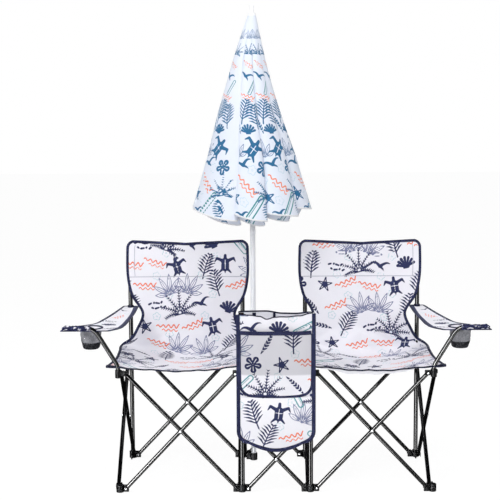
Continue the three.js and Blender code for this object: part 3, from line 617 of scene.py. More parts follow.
# Zinc-plated rivet head: bright metal, dulled in fine patches by the plating bath.
def zincPlate(name):
    material, tree = newMaterial(name)
    place = addNode(tree, "ShaderNodeTexCoord").outputs["Object"]
    cloud = addNode(tree, "ShaderNodeTexNoise", {"Vector": place, "Scale": 500.0, "Detail": 3.0})
    surface = addNode(tree, "ShaderNodeBsdfPrincipled", {
        "Base Color": patched(tree, cloud, 0.0, 1.0, 1.0, "#fafbfc", "#d9dce0"),
        "Metallic": 0.25,
        "Roughness": addNode(tree, "ShaderNodeMapRange", {0: cloud, 1: 0.3, 2: 0.7, 3: 0.3, 4: 0.46}),
    })
    addNode(tree, "ShaderNodeOutputMaterial", {"Surface": surface})
    return material


# Woven edge tape: dark navy polyester with fine ribs across it and a lighter worn bloom.
def edgeTape(name, colour, worn):
    material, tree = newMaterial(name)
    place = addNode(tree, "ShaderNodeTexCoord").outputs["Object"]
    ribs = addNode(tree, "ShaderNodeTexWave", {
        "Vector": place, "Scale": 190.0, "Distortion": 1.2, "Detail": 1.0,
    }, bands_direction="DIAGONAL")
    cloud = addNode(tree, "ShaderNodeTexNoise", {"Vector": place, "Scale": 45.0, "Detail": 4.0})
    shade = patched(tree, cloud, 0.4, 0.8, 0.8, colour, worn)
    ribbed = addNode(tree, "ShaderNodeMix", {
        0: 0.35, 6: shade, 7: ribs.outputs["Color"],
    }, data_type="RGBA", blend_type="MULTIPLY")
    surface = addNode(tree, "ShaderNodeBsdfPrincipled", {
        "Base Color": ribbed.outputs[2],
        "Roughness": 0.78, "Sheen Weight": 0.08, "Sheen Roughness": 0.4, "Specular IOR Level": 0.12,
        "Normal": addNode(tree, "ShaderNodeBump", {
            "Height": ribs.outputs["Fac"], "Strength": 0.5, "Distance": 0.0004,
        }),
    })
    addNode(tree, "ShaderNodeOutputMaterial", {"Surface": surface})
    return material


# Polyester mesh of the cup holders: grey hexagonal net, let through between its threads.
def holderNet(name, colour, dark, closed):
    material, tree = newMaterial(name)
    place = addNode(tree, "ShaderNodeTexCoord").outputs["Object"]
    cells = addNode(tree, "ShaderNodeTexVoronoi", {"Vector": place, "Scale": 420.0, "Randomness": 0.35})
    fromThread = cells.outputs["Distance"]
    cloud = addNode(tree, "ShaderNodeTexNoise", {"Vector": place, "Scale": 34.0, "Detail": 4.0})
    thread = addNode(tree, "ShaderNodeBsdfPrincipled", {
        "Base Color": patched(tree, cloud, 0.35, 0.7, 1.0, colour, dark),
        "Roughness": 0.7, "Specular IOR Level": 0.15,
        "Normal": addNode(tree, "ShaderNodeBump", {
            "Height": fromThread, "Strength": 0.5, "Distance": 0.0005,
        }),
    })
    share = addNode(tree, "ShaderNodeMapRange", {0: fromThread, 1: 0.25, 2: 0.45, 3: closed, 4: 1.0})
    gap = addNode(tree, "ShaderNodeBsdfTransparent")
    surface = addNode(tree, "ShaderNodeMixShader", {0: share, 1: gap, 2: thread})
    addNode(tree, "ShaderNodeOutputMaterial", {"Surface": surface})
    return material


# Coated inner side of the cloth: pale, plain, a little glossier than the printed side.
def coatedLining(name, colour):
    material, tree = newMaterial(name)
    place = addNode(tree, "ShaderNodeTexCoord").outputs["Object"]
    weave = addNode(tree, "ShaderNodeTexChecker", {"Vector": place, "Scale": 700.0}).outputs["Fac"]
    cloud = addNode(tree, "ShaderNodeTexNoise", {"Vector": place, "Scale": 26.0, "Detail": 4.0})
    surface = addNode(tree, "ShaderNodeBsdfPrincipled", {
        "Base Color": patched(tree, cloud, 0.35, 0.75, 0.4, colour, "#dfdfe8"),
        "Roughness": 0.62, "Specular IOR Level": 0.15,
        "Normal": addNode(tree, "ShaderNodeBump", {"Height": weave, "Strength": 0.1, "Distance": 0.0002}),
    })
    addNode(tree, "ShaderNodeOutputMaterial", {"Surface": surface})
    return material


# The arm rest's front hem, bunched on its tube: navy tape and white cloth show by turns.
def crumpledSleeve(name):
    material, tree = newMaterial(name)
    place = addNode(tree, "ShaderNodeTexCoord").outputs["Object"]
    longer = addNode(tree, "ShaderNodeMapping", {"Vector": place, "Scale": (1.0, 1.0, 2.2)})
    wider = addNode(tree, "ShaderNodeMapping", {"Vector": place, "Scale": (0.4, 1.0, 1.0)})
    patch = addNode(tree, "ShaderNodeTexNoise", {"Vector": longer, "Scale": 60.0, "Detail": 3.0})
    crease = addNode(tree, "ShaderNodeTexNoise", {"Vector": wider, "Scale": 150.0, "Detail": 3.0})
    surface = addNode(tree, "ShaderNodeBsdfPrincipled", {
        "Base Color": patched(tree, patch, 0.55, 0.62, 1.0, "#272a47", "#e4e3ec"),
        "Roughness": 0.8, "Specular IOR Level": 0.12,
        "Normal": addNode(tree, "ShaderNodeBump", {"Height": crease, "Strength": 0.8, "Distance": 0.0015}),
    })
    addNode(tree, "ShaderNodeOutputMaterial", {"Surface": surface})
    return material


# Stove enamel on the steel pole: clean white, smooth, with a faint ripple under its gloss.
def whiteEnamel(name):
    material, tree = newMaterial(name)
    place = addNode(tree, "ShaderNodeTexCoord").outputs["Object"]
    swell = addNode(tree, "ShaderNodeTexNoise", {"Vector": place, "Scale": 90.0, "Detail": 2.0})
    cloud = addNode(tree, "ShaderNodeTexNoise", {"Vector": place, "Scale": 12.0, "Detail": 3.0})
    surface = addNode(tree, "ShaderNodeBsdfPrincipled", {
        "Base Color": patched(tree, cloud, 0.0, 1.0, 1.0, "#f9fbfe", "#eef1f6"),
        "Roughness": addNode(tree, "ShaderNodeMapRange", {0: cloud, 1: 0.3, 2: 0.7, 3: 0.28, 4: 0.38}),
        "Specular IOR Level": 0.2,
        "Normal": addNode(tree, "ShaderNodeBump", {"Height": swell, "Strength": 0.04, "Distance": 0.0004}),
    })
    addNode(tree, "ShaderNodeOutputMaterial", {"Surface": surface})
    return material


steel = powderCoat("powderCoatedSteel", "#050506", "#0b0b0d", 0.09)
nylon = mouldedNylon("mouldedNylon")
zinc = zincPlate("zincRivet")
tape = edgeTape("wovenTape", "#272a47", "#353959")
thread = edgeTape("paleThread", "#c3c4d3", "#d3d4df")
darkTape = edgeTape("darkCord", "#15172a", "#23263d")
whiteTape = edgeTape("whiteHem", "#fbfcff", "#f0f2f8")
net = holderNet("meshNet", "#a9aab0", "#77787e", 0.35)
darkNet = holderNet("darkNet", "#222327", "#131316", 0.8)
sleeveCloth = crumpledSleeve("crumpledSleeve")
lining = coatedLining("coatedLining", "#eeeef4")
canopyInner = coatedLining("canopyInner", "#f3f5fb")
enamel = whiteEnamel("whiteEnamel")


# Printed 600 denier polyester: matt, off-white, with a plain weave. Its inks have the sharp edges
# of a transfer print, cut from the distances that the cloth carries. Above a given height the colour
# is multiplied down to grey: painted shade for the dark inside of the bag behind the thin cloth.
def printedCloth(name, ground, inks, edge=0.7, paintedShadeAbove=None):
    material, tree = newMaterial(name)
    ink, pale, flat = (
        addNode(tree, "ShaderNodeAttribute", attribute_name=each) for each in ("ink", "paleInk", "flat")
    )
    red, green, blue = addNode(tree, "ShaderNodeSeparateColor", {"Color": ink.outputs["Color"]}).outputs
    distances = [red, green, blue, ink.outputs["Alpha"], pale.outputs["Fac"]]
    place = addNode(tree, "ShaderNodeTexCoord").outputs["Object"]
    cloud = addNode(tree, "ShaderNodeTexNoise", {"Vector": place, "Scale": 9.0, "Detail": 3.0})
    colour = patched(tree, cloud, 0.3, 0.7, 0.2, ground, "#e0e0ea")
    for distance, shade in zip(reversed(distances), reversed(inks)):
        colour = patched(tree, distance, edge / 2, -edge / 2, 1.0, colour, shade)
    # thread spacing of the real cloth is 0.5 mm; drawn at 1.5 mm so that it shows
    weave = addNode(tree, "ShaderNodeTexChecker", {"Vector": flat.outputs["Vector"], "Scale": 650.0})
    colour = addNode(tree, "ShaderNodeMix", {
        0: 0.05, 6: colour, 7: weave.outputs["Color"],
    }, data_type="RGBA", blend_type="MULTIPLY").outputs[2]
    # painted shade: above this height the colour is greyed where the bag's box behind keeps the light away
    if paintedShadeAbove:
        height = addNode(tree, "ShaderNodeSeparateXYZ", {0: place}).outputs["Z"]
        share = addNode(tree, "ShaderNodeMapRange", {
            0: height, 1: paintedShadeAbove - 0.003, 2: paintedShadeAbove + 0.003,
        })
        colour = addNode(tree, "ShaderNodeMix", {
            0: share, 6: colour, 7: "#d9d9da",
        }, data_type="RGBA", blend_type="MULTIPLY").outputs[2]
    slub = addNode(tree, "ShaderNodeTexNoise", {"Vector": place, "Scale": 260.0, "Detail": 2.0})
    slubs = addNode(tree, "ShaderNodeBump", {"Height": slub, "Strength": 0.12, "Distance": 0.0004})
    surface = addNode(tree, "ShaderNodeBsdfPrincipled", {
        "Base Color": colour,
        "Roughness": 0.82, "Sheen Weight": 0.1, "Sheen Roughness": 0.5, "Specular IOR Level": 0.08,
        "Normal": addNode(tree, "ShaderNodeBump", {
            "Height": weave.outputs["Fac"], "Strength": 0.12, "Distance": 0.0003, "Normal": slubs,
        }),
    })
    addNode(tree, "ShaderNodeOutputMaterial", {"Surface": surface})
    return material


chairInks = ["#33385c", "#ef7f60", "#5f9ca3", "#7d82a3", "#c3dae2"]
canopyInks = ["#326a93", "#e98c6c", "#3d8a90", "#7d91b0", "#c2d6e4"]
cloth = printedCloth("printedPolyester", "#f5f4fb", chairInks)
# the same cloth with painted shade above the bag's floor, for the upper pocket
paintedShadeCloth = printedCloth("printedPaintedShade", "#f5f4fb", chairInks, paintedShadeAbove=0.4165)
canopyCloth = printedCloth("printedCanopy", "#dde4f1", canopyInks, 0.5)

print("loveseat: bars and rivets")

# Crosses: two bars riveted at their middle. along is the way from the first post to the second.
# The riveted bar lies on the outer side, and with hand 1 it rises along.
posts = {
    "rear_outer_left": (-outerX, rearY),
    "rear_inner_left": (-innerX, rearY),
    "rear_inner_right": (innerX, rearY),
    "rear_outer_right": (outerX, rearY),
    "front_outer_left": (-outerX, frontY),
    "front_inner_left": (-innerX, frontY),
    "front_inner_right": (innerX, frontY),
    "front_outer_right": (outerX, frontY),
}
crosses = {
    "front_left": ("front_outer_left", "front_inner_left", 1),
    "front_right": ("front_inner_right", "front_outer_right", 1),
    "rear_left": ("rear_inner_left", "rear_outer_left", 1),
    "rear_right": ("rear_outer_right", "rear_inner_right", 1),
    "side_outer_left": ("rear_outer_left", "front_outer_left", -1),
    "side_inner_left": ("front_inner_left", "rear_inner_left", -1),
    "side_inner_right": ("rear_inner_right", "front_inner_right", -1),
    "side_outer_right": ("front_outer_right", "rear_outer_right", -1),
    "front_middle": ("front_inner_left", "front_inner_right", 1),
    "rear_middle": ("rear_inner_right", "rear_inner_left", -1),
}
bodyOf = {
    node: body
    for body, nodes in frame["record"]["behaviour"]["bodies"].items()
    for node in nodes
}
barShape = {
    "sides": 28,
    "endRound": 2.2,
    "rivetRadius": 4.6,
    "rivetHeight": 2.2,
}


# A dome: a quarter ellipse turned about the axis, over a short straight skirt.
def domePart(base, axis, radius, height, finish=0, sides=20):
    turn = np.linspace(0, np.pi / 2, 6)
    profile = [(-0.6, 0), (-0.6, radius)]
    profile += [(height * math.sin(a), radius * math.cos(a)) for a in turn[:-1]]
    profile.append((height, 0))
    return turnedPart(base, axis, profile, sides, finish)


# Two bars that rise from foot to hub in opposite ways, one on each side of the line between the
# posts. A bar is a cylinder about the line through its pins, its ends rounded by a quarter circle.
# The riveted one carries the rivet's two domes, one on its own outer face and one on the other's.
def makeCross(name, start, end, hand):
    a, b = np.array(posts[start]), np.array(posts[end])
    way = (b - a) / np.linalg.norm(b - a)
    outward = np.array([way[1], -way[0]])
    small = name.endswith("middle")
    low = frameSizes["footPin"]
    high = sliderPin if small else frameSizes["hubPin"]
    firstPin = a + way * frameSizes["postToPin"]
    lastPin = b - way * frameSizes["postToPin"]
    radius, rounding = frameSizes["barRadius"], barShape["endRound"]
    for kind, side, rising in (("riveted", 1, hand), ("plain", -1, -hand)):
        off = outward * side * frameSizes["barOffset"]
        feet = (firstPin, lastPin) if rising > 0 else (lastPin, firstPin)
        foot = np.array([*(feet[0] + off), low])
        top = np.array([*(feet[1] + off), high])
        axis = unit(top - foot)
        base = foot - axis * frameSizes["barOverhang"]
        length = np.linalg.norm(top - foot) + 2 * frameSizes["barOverhang"]
        rise = [
            (rounding - rounding * math.cos(t), radius - rounding + rounding * math.sin(t))
            for t in np.linspace(0, np.pi / 2, 5)
        ]
        fall = [(length - d, r) for d, r in reversed(rise)]
        profile = [(0, 0), *rise, *fall, (length, 0)]
        parts = [turnedPart(base, axis, profile, barShape["sides"])]
        if kind == "riveted":
            out, dome = np.array([*outward, 0]), (barShape["rivetRadius"], barShape["rivetHeight"], 1)
            front = (foot + top) / 2 + out * (radius - 0.3)
            back = (foot + top) / 2 - out * (2 * frameSizes["barOffset"] + radius)
            parts += [domePart(front, out, *dome), domePart(back + out * 0.3, -out, *dome)]
        node = f"bar_{name}_{kind}"
        makePiece(f"tube_{name}_{kind}", parts, [steel, zinc], bodyOf[node], [node])


for name, (start, end, hand) in crosses.items():
    makeCross(name, start, end, hand)

print("loveseat: brackets")

bracket = {
    "core": 13.2,
    "plate": 5.1,
    "plateNear": 0.2,
    "pinReach": 9.0,
    "half": 11.0,
    "capFrom": 15.2,
    "capFace": 14.75,
    "capThick": 1.5,
    "foot": (0.0, 27.0),
    "hub": (400.0, 435.0),
    "slider": (-13.0, 13.0),
    "floor": 3.9,
    "armHub": {"span": (402.0, 431.0), "core": 10.8, "half": 9.0},  # the hub of an arm tube
    "holder": (14.0, 10.1),  # radii of the umbrella's socket and ring
    "poleAcross": 40.0,  # the umbrella's pole to the right of the post that carries it
    "poleForward": 33.5,
}


# A moulded ring: solid without a bore, blind with a floor, and otherwise open at both ends.
def ringPart(x, y, low, high, outer, bore, floor):
    through = bore is not None and not floor
    if bore is None:
        inner = []
    else:
        inner = [(high, bore), (low + bracket["floor"] if floor else low, bore)]
    if through:
        profile = [*outer, *inner]
    else:
        profile = [(low, 0), *outer, *inner, (inner[-1][0] if inner else high, 0)]
    return turnedPart((x, y, 0), (0, 0, 1), profile, 32, closed=through)


# The collar round a post has soft edges and two shallow grooves.
def collarPart(x, y, low, high, r, bore, floor):
    outer = [
        (low, r - 2.2), (low + 0.6, r - 0.8), (low + 2, r), (low + 6, r), (low + 6.6, r - 0.6),
        (low + 7.8, r - 0.6), (low + 8.4, r), (high - 8.4, r), (high - 7.8, r - 0.6),
        (high - 6.6, r - 0.6), (high - 6, r), (high - 2, r), (high - 0.6, r - 0.8), (high, r - 2.2),
    ]
    return ringPart(x, y, low, high, outer, bore, floor)


# A lug that holds one bar's end: a plate behind the bar, a cap in front of it, a pin through both.
def lugParts(post, toward, side, height, half, low=None):
    middle = np.array(post)
    way = unit(np.array(toward, float))
    across = np.array([-way[1], way[0]])
    turn = math.atan2(way[1], way[0])
    reach = frameSizes["postToPin"] + bracket["pinReach"]
    down = half if low is None else low
    offset = -side * (bracket["plate"] / 2 - bracket["plateNear"])
    centre = middle + way * (4 + reach) / 2 + across * offset
    parts = [roundedPart(
        (*centre, height + (half - down) / 2), ((reach - 4) / 2, bracket["plate"] / 2, (half + down) / 2),
        2.3, turn,
    )]
    spot = middle + way * (bracket["capFrom"] + reach) / 2
    spot = spot + across * side * (bracket["capFace"] + bracket["capThick"] / 2)
    parts.append(roundedPart(
        (*spot, height), ((reach - bracket["capFrom"]) / 2, bracket["capThick"] / 2, half - 2.5), 0.7, turn,
    ))
    pin = middle + way * frameSizes["postToPin"]
    front = pin + across * side * (bracket["capFace"] + bracket["capThick"] - 0.1)
    back = pin - across * side * (bracket["plate"] - bracket["plateNear"] - 0.1)
    outward = np.array([*(across * side), 0])
    parts.append(domePart((*front, height), outward, 3.6, 1.0, 1))
    parts.append(domePart((*back, height), -outward, 4.2, 1.6))
    return parts


# The umbrella's socket or ring beside its post: a ring with its outer edges cut at a slant.
def holderPart(x, y, low, high, floor):
    r, bore = bracket["holder"]
    outer = [(low, r - 1.2), (low + 1.2, r), (high - 1.5, r), (high, r - 1.5)]
    return ringPart(x + bracket["poleAcross"], y - bracket["poleForward"], low, high, outer, bore, floor)


lugs = {name: {"foot": [], "hub": [], "slider": []} for name in posts}
for name, (start, end, hand) in crosses.items():
    way = unit(np.array(posts[end], float) - np.array(posts[start], float))
    high = "slider" if name.endswith("middle") else "hub"
    lugs[start]["foot"].append((way, -hand))
    lugs[end]["foot"].append((-way, -hand))
    lugs[start][high].append((way, hand))
    lugs[end][high].append((-way, hand))

for name, kinds in lugs.items():
    x, y = posts[name]
    front = name.startswith("front")
    bare = name.startswith("front_outer")
    radius = frameSizes["frontPostRadius"] if front else frameSizes["rearPostRadius"]
    for kind, held in kinds.items():
        if not held:
            continue
        height = {"foot": frameSizes["footPin"], "hub": frameSizes["hubPin"], "slider": sliderPin}[kind]
        low, high = bracket[kind]
        if kind == "slider":
            low, high = low + sliderPin, high + sliderPin
        bore = None if bare and kind == "foot" else radius + (0.25 if kind == "foot" else 0.5)
        closed = kind == "foot" or bare
        core, half = bracket["core"], bracket["half"]
        if bare and kind == "hub":
            bore = frameSizes["armTubeRadius"] + 0.25
            (low, high), core, half = bracket["armHub"].values()
        parts = [collarPart(x, y, low, high, core, bore, closed)]
        down = height if kind == "foot" else None
        for way, side in held:
            parts += lugParts((x, y), way, side, height, half, down)
        if name == "rear_inner_left" and kind == "foot":
            parts.append(holderPart(x, y, 0.0, 27.0, True))
            spot = (x + 26, y - bracket["poleForward"] + 15, 13.0)
            parts.append(roundedPart(spot, (14, 15, 12.8), 2.5))
        if name == "rear_inner_left" and kind == "hub":
            parts.append(holderPart(x, y, 419.0, 435.0, False))
            lean = -math.atan2(bracket["poleForward"], bracket["poleAcross"])
            spot = (x + bracket["poleAcross"] / 2, y - bracket["poleForward"] / 2, 427.0)
            parts.append(roundedPart(spot, (15, 4, 7.8), 2.0, lean))
        node = f"{kind}_{name}"
        makePiece(f"moulded_{node}", parts, [nylon, zinc], bodyOf[node], [node])

print("loveseat: posts and arm tubes")

for name, (x, y) in posts.items():
    node = f"post_{name}"
    if node not in frame["nodes"]:
        continue
    low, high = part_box(node)
    front = name.startswith("front")
    radius = frameSizes["frontPostRadius"] if front else frameSizes["rearPostRadius"]
    length = (high[2] - low[2]) * 1000
    profile = [
        (0, 0), (0, radius - 1), (1, radius), (length - 1.5, radius), (length, radius - 1.5), (length, 0),
    ]
    makePiece(
        f"tube_{node}", [turnedPart((x, y, low[2] * 1000), (0, 0, 1), profile, 32)],
        [steel], bodyOf[node], [node],
    )

armTube = {
    "seat": 404.3,
    "knee": 442.0,
    "kneeBend": 16.0,
    "lean": 81.0,
    "top": 575.3,
    "bend": 30.0,
    "end": 180.0,
}


# Straight runs joined by quadratic bends that start and end the given length from each corner.
def roundedRoute(corners, bends, steps=12):
    corners = [np.asarray(c, float) for c in corners]
    route = [corners[0][None]]
    share = np.linspace(0, 1, steps)[:, None]
    for before, corner, after, bend in zip(corners, corners[1:], corners[2:], bends):
        start = corner + unit(before - corner) * bend
        end = corner + unit(after - corner) * bend
        route.append((1 - share) ** 2 * start + 2 * share * (1 - share) * corner + share**2 * end)
    route.append(corners[-1][None])
    return np.concatenate(route)


for side, word in leftRight:
    x, y = posts[f"front_outer_{word}"]
    route = roundedRoute(
        [
            (x, y, armTube["seat"]),
            (x, y, armTube["knee"]),
            (x + side * armTube["lean"], y, armTube["top"]),
            (x + side * armTube["end"], y, armTube["top"]),
        ],
        [armTube["kneeBend"], armTube["bend"]],
    )
    node = f"arm_tube_{word}"
    part = carriedPart(route, (0, 1, 0), ringOutline(frameSizes["armTubeRadius"], 28))
    makePiece(f"tube_{node}", [part], [steel], bodyOf[node], [node])

print("loveseat: slings")

sling = {
    "steps": (150, 285),
    "thickness": 0.9,
    "backTop": 833.0,
    "backTopSag": 7.0,
    "seam": 700.0,
    "waist": 560.0,
    "waistOuter": 168.0,
    "waistInner": 185.0,
    "seatEdge": 442.0,
    "creaseForward": 34.0,
    "creaseHeight": 412.0,
    "seatSag": 400.0,
    "seatFront": 426.0,
    "binding": (5.2, 1.9),
    "bindingInset": 3.5,
    "corner": 24.0,
    "cornerShare": 0.0205,  # share of the way at which the round corners end
    "pocket": 27.0,  # edge to the seam of the post's pocket
    "hem": 13.0,
    "splits": (0.62, 0.835),  # shares of the way at which the back and the rear of the seat end
    "cutWidth": 0.483,
    "keep": 0.34,
}


# Rows across the sling from the top of the back to the front of the seat: half widths on the
# outer and the inner side, then depth and height of the edges, then those of the middle.
def slingRows():
    face = rearY - frameSizes["rearPostRadius"] - 1.5
    front = frontY - 5
    outer, inner = postHalf + 10.5, postHalf + 23
    waist, edge = sling["waist"], sling["seatEdge"]
    hip = edge + (waist - edge) * 0.2
    flank = (waist + edge) / 2
    shoulder = (sling["seam"] + waist) / 2
    shoulderOuter = sling["waistOuter"] + 0.72 * (outer - sling["waistOuter"])
    shoulderInner = sling["waistInner"] + 0.72 * (inner - sling["waistInner"])
    crease = sling["creaseForward"]
    return np.array([
        (outer, inner, face, sling["backTop"], face, sling["backTop"] - sling["backTopSag"]),
        (outer, inner, face, sling["seam"], rearY, sling["seam"]),
        (shoulderOuter, shoulderInner, face, shoulder, rearY, shoulder),
        (sling["waistOuter"], sling["waistInner"], face, waist, rearY, waist),
        ((sling["waistOuter"] + postHalf) / 2, (sling["waistInner"] + postHalf) / 2,
         face, flank, rearY, flank),
        (postHalf, postHalf, face - 0.5, hip, face, flank - crease),
        (postHalf + 34, postHalf + 14, face - 1, edge, rearY - crease, sling["creaseHeight"]),
        (postHalf + 30, postHalf + 14, rearY / 3, edge, rearY / 3, sling["seatSag"]),
        (postHalf + 26, postHalf + 14, frontY / 3, edge, frontY / 3, sling["seatSag"]),
        (postHalf + 41, postHalf + 14, front, edge, front, sling["seatFront"]),
    ])


# The cloth at share u from the outer to the inner edge and share v from top to front: each row
# hangs between its edges and its middle by a power of the distance from the middle.
def slingSurface(side, u, v):
    rows = slingRows()
    outer = smoothCurve(rows[:, [0, 2, 3]], v)
    inner = smoothCurve(rows[:, [1, 2, 3]], v)
    middle = smoothCurve(np.column_stack([0 * rows[:, 0], rows[:, 4:]]), v)
    across = 2 * u - 1
    edge = np.where((across < 0)[:, None], outer, inner)
    hang = (1 - across**2) ** 1.5
    rise = np.clip((edge[:, 2] - sling["backTop"]) / sling["corner"] + 1, 0, 1)
    cut = sling["corner"] * (1 - np.sqrt(1 - rise**2)) * (v < 0.1)
    x = side * chairX - side * across * (edge[:, 0] - cut)
    y = edge[:, 1] + hang * (middle[:, 1] - edge[:, 1])
    z = edge[:, 2] + hang * (middle[:, 2] - edge[:, 2])
    # soft wrinkles: slanting ones that pull from the hips, long ones on the back and a crumpled front
    pull = np.exp(-(((v - 0.62) / 0.13) ** 2)) * 2.4 * np.sin(15 * np.abs(across) - 26 * v + side)
    long = 1.3 * np.sin(7 * across + 9 * v + side) * np.sin(19 * v + 3 * across)
    crumple = 1.2 * np.sin(11 * across + side) + 0.7 * np.sin(29 * across)
    crumple = np.exp(-(((v - 1) / 0.022) ** 2)) * crumple
    inside = np.minimum(1, 6 * (1 - np.abs(across)))
    y = y - inside * (pull + long) * np.clip(v / 0.12, 0, 1)
    z = z + inside * 0.6 * (pull + long) * (v > 0.5) + crumple
    return np.column_stack([x, y, z])


# A sling's points. Its first ten rows follow one minus the cosine, so they lie closest at the top.
def slingGrid(side, columns, rows):
    near = sling["cornerShare"] * (1 - np.cos(np.linspace(0, np.pi / 2, 10)))
    share = np.concatenate([near, np.linspace(sling["cornerShare"], 1, rows - 9)[1:]])
    u, v = np.meshgrid(np.linspace(0, 1, columns), share)
    return slingSurface(side, u.ravel(), v.ravel()).reshape(rows, columns, 3)


# Normals of a grid: the cross product of its slopes along the columns and along the rows.
def surfaceNormals(points):
    return unit(np.cross(np.gradient(points, axis=1), np.gradient(points, axis=0)))


# A tape along a path. Its section is a flat ring whose sine and cosine are raised to the power 0.7.
def edging(path, normals, size, finish=0, closed=False, scale=None):
    half, thick = size
    outline = ringOutline(1.0, 12) * [half, thick]
    outline = np.sign(outline) * np.abs(outline / [half, thick]) ** 0.7 * [half, thick]
    return carriedPart(path, normals, outline, finish, closed, scale)


# Each piece is given a mesh of its own.
def gather(pieces, anchor):
    anchor = (np.array(anchor) + [0, shiftY, 0]) / 1000
    for piece in pieces:
        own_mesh(piece)


# A cloth's edge down one side, along its foot and up the other.
def lowerEdge(points):
    return np.concatenate([points[:, 0], points[-1, 1:-1], points[::-1, -1]])


# Two shares from 0 to 1 over a grid.
def shareGrid(columns, rows):
    return np.meshgrid(np.linspace(0, 1, columns), np.linspace(0, 1, rows))


# A sling is three cloths that meet in hidden seams, the back, the rear of the seat and its front,
# because these follow the rear posts, the rear hubs and the front hubs.
def makeSling(side, word, seed):
    columns, rows = sling["steps"]
    points = slingGrid(side, columns, rows)
    normals = surfaceNormals(points)
    along = lengthAlong(points[:, columns // 2])
    s = points[:, :, 0] - side * chairX
    t = -np.repeat(along[:, None], columns, 1)
    fields = printFields(s, t, seed).reshape(rows, columns, 7)
    out = -1.0 if normals[20, columns // 2, 1] > 0 else 1.0
    hip, half = (round(share * rows) for share in sling["splits"])
    for kind, first, last, body in (
        ("back", 0, hip, bodyOf[f"sling_{word}"]),
        ("seat", hip, half, f"rear_inner_{word}_hub"),
        ("front", half, rows - 1, f"front_inner_{word}_hub"),
    ):
        part = gridPart(points[first:last + 1], fields=fields[first:last + 1].reshape(-1, 7), flip=side < 0)
        stands = [f"sling_{word}"] if kind == "back" else []
        piece = makePiece(f"sling_{kind}_{word}", [part], [cloth, lining], body, stands)
        thicken(piece, sling["thickness"])
        trims = []
        for column in (0, columns - 1):
            beside = 1 if column == 0 else columns - 2
            inward = unit(points[:, beside] - points[:, column])
            path = points[:, column] + inward * sling["bindingInset"]
            trims.append(edging(path[first:last + 1:2], normals[first:last + 1:2, column], sling["binding"]))
        if kind == "back":
            top = points[0] + unit(points[1] - points[0]) * sling["bindingInset"]
            trims.append(edging(top, normals[0], sling["binding"]))
            trims += slingSeams(points, normals, out, columns)
        if kind == "front":
            front = points[-1] + unit(points[-2] - points[-1]) * sling["bindingInset"]
            fromCorner = np.linalg.norm(front - front[0], axis=1)
            taped = 1 + 0.9 * np.exp(-(fromCorner / 45) ** 2)
            trims.append(edging(front, normals[-1], (4.4, 2.6), 1, scale=taped))
            if side > 0:
                trims.append(slingHem(points[-1], columns))
        finishes = [tape, darkTape, thread, lining]
        binding = makePiece(f"sling_{kind}_binding_{word}", trims, finishes, body)
        gather([piece, binding], (side * innerX, rearY, 0))


# The back's cross seam at the foot of its post pockets, and the upright one beside the outer post.
def slingSeams(points, normals, out, columns):
    row = int(np.argmin(np.abs(points[:, columns // 2, 2] - sling["seam"])))
    column = round(sling["pocket"] / np.ptp(points[0, :, 0]) * columns)
    raised = points + normals * out * 0.8
    return [
        edging(raised[row, 2:-2:2], normals[row, 2:-2:2], (1.3, 0.6), 2),
        edging(raised[6:row:2, column], normals[6:row:2, column], (1.1, 0.6), 2),
    ]


# Points of a path where a measure along it, known at each of its points, has the values given.
def pointsAt(path, measure, values):
    return np.column_stack([np.interp(values, measure, path[:, k]) for k in range(3)])


# The pale hem that hangs below the right seat's front edge.
def slingHem(edge, columns):
    share = np.linspace(0.2, 0.9, 60)
    line = pointsAt(edge, np.arange(columns), share * (columns - 1))
    drop = sling["hem"] * np.sin(np.pi * np.linspace(0, 1, 60)) ** 0.45
    levels = np.linspace(0, 1, 6)[:, None]
    return gridPart(np.stack([
        line[:, 0] + 0 * levels, line[:, 1] + 2.0 + 2.5 * levels,
        line[:, 2] - 1.5 - levels * (drop + 1.2 * np.sin(29 * share)),
    ], -1), finish=3)


makeSling(-1, "left", 3)
makeSling(1, "right", 4)

print("loveseat: arm rests and cups")

armRest = {
    "rearZ": 584.0,
    "frontZ": 566.0,
    "slopeShare": 0.7,
    "sag": 6.0,
    "sagShare": 0.5,
    "thickness": 1.2,
    "steps": (60, 130),
    "binding": (4.4, 1.7),
    "sleeve": (8.7, 92.0, 190.0),
    "loop": (10.6, 6.5),  # radius and half height of the loop round the rear post
    "turnIn": 15.0,
    "cut": (0.22, 0.4415),
    "keep": 0.34,
    # its print: motif, place out from the post and forward, lean, size
    "motifs": [
        ("gull", 22, -60, 24, 0.7), ("ripple", 24, -150, -60, 0.9), ("pebbles", 52, -232, 10, 0.9),
        ("shell", 44, -300, 20, 0.9), ("bloom", 84, -300, 0, 0.9), ("sprig", 118, -372, 60, 0.9),
        ("bloom", -2, -100, 0, 0.7), ("feather", 20, -372, 70, 1.0), ("gull", 150, -392, 12, 0.8),
    ],
}
# Share of the way forward, and how far the inner and the outer edge lie past the outer post.
armRows = np.array([
    (0, -26, 26), (0.31, -25, 52), (0.53, -19, 76), (0.68, -15, 100),
    (0.77, -11, 142), (0.88, -3, 186), (1, 30, 194),
], float)


# An arm rest's cloth: straight across from a smooth inner edge to a smooth outer one. It slopes
# evenly to its level front, and sags as a sine across times a sine along.
def armSurface(side, x, u, v):
    back, front = rearY + 14, frontY - 4
    depth = back + (front - back) * armRows[:, 0]
    slope = np.minimum(1, armRows[:, 0] / armRest["slopeShare"])
    height = armRest["rearZ"] + (armRest["frontZ"] - armRest["rearZ"]) * slope
    inner = smoothCurve(np.column_stack([armRows[:, 1], depth, height]), v)
    outer = smoothCurve(np.column_stack([armRows[:, 2], depth, height]), v)
    place = inner + (outer - inner) * u[:, None]
    hang = armRest["sag"] * np.sin(np.pi * u) * np.sin(np.pi * np.minimum(1, v / armRest["sagShare"]))
    return np.column_stack([x + side * place[:, 0], place[:, 1], place[:, 2] - hang])


# A level circle round a middle.
def levelRing(middle, radius, steps):
    ring = ringOutline(radius, steps)
    return np.column_stack([ring, 0 * ring[:, 0]]) + np.asarray(middle, float)


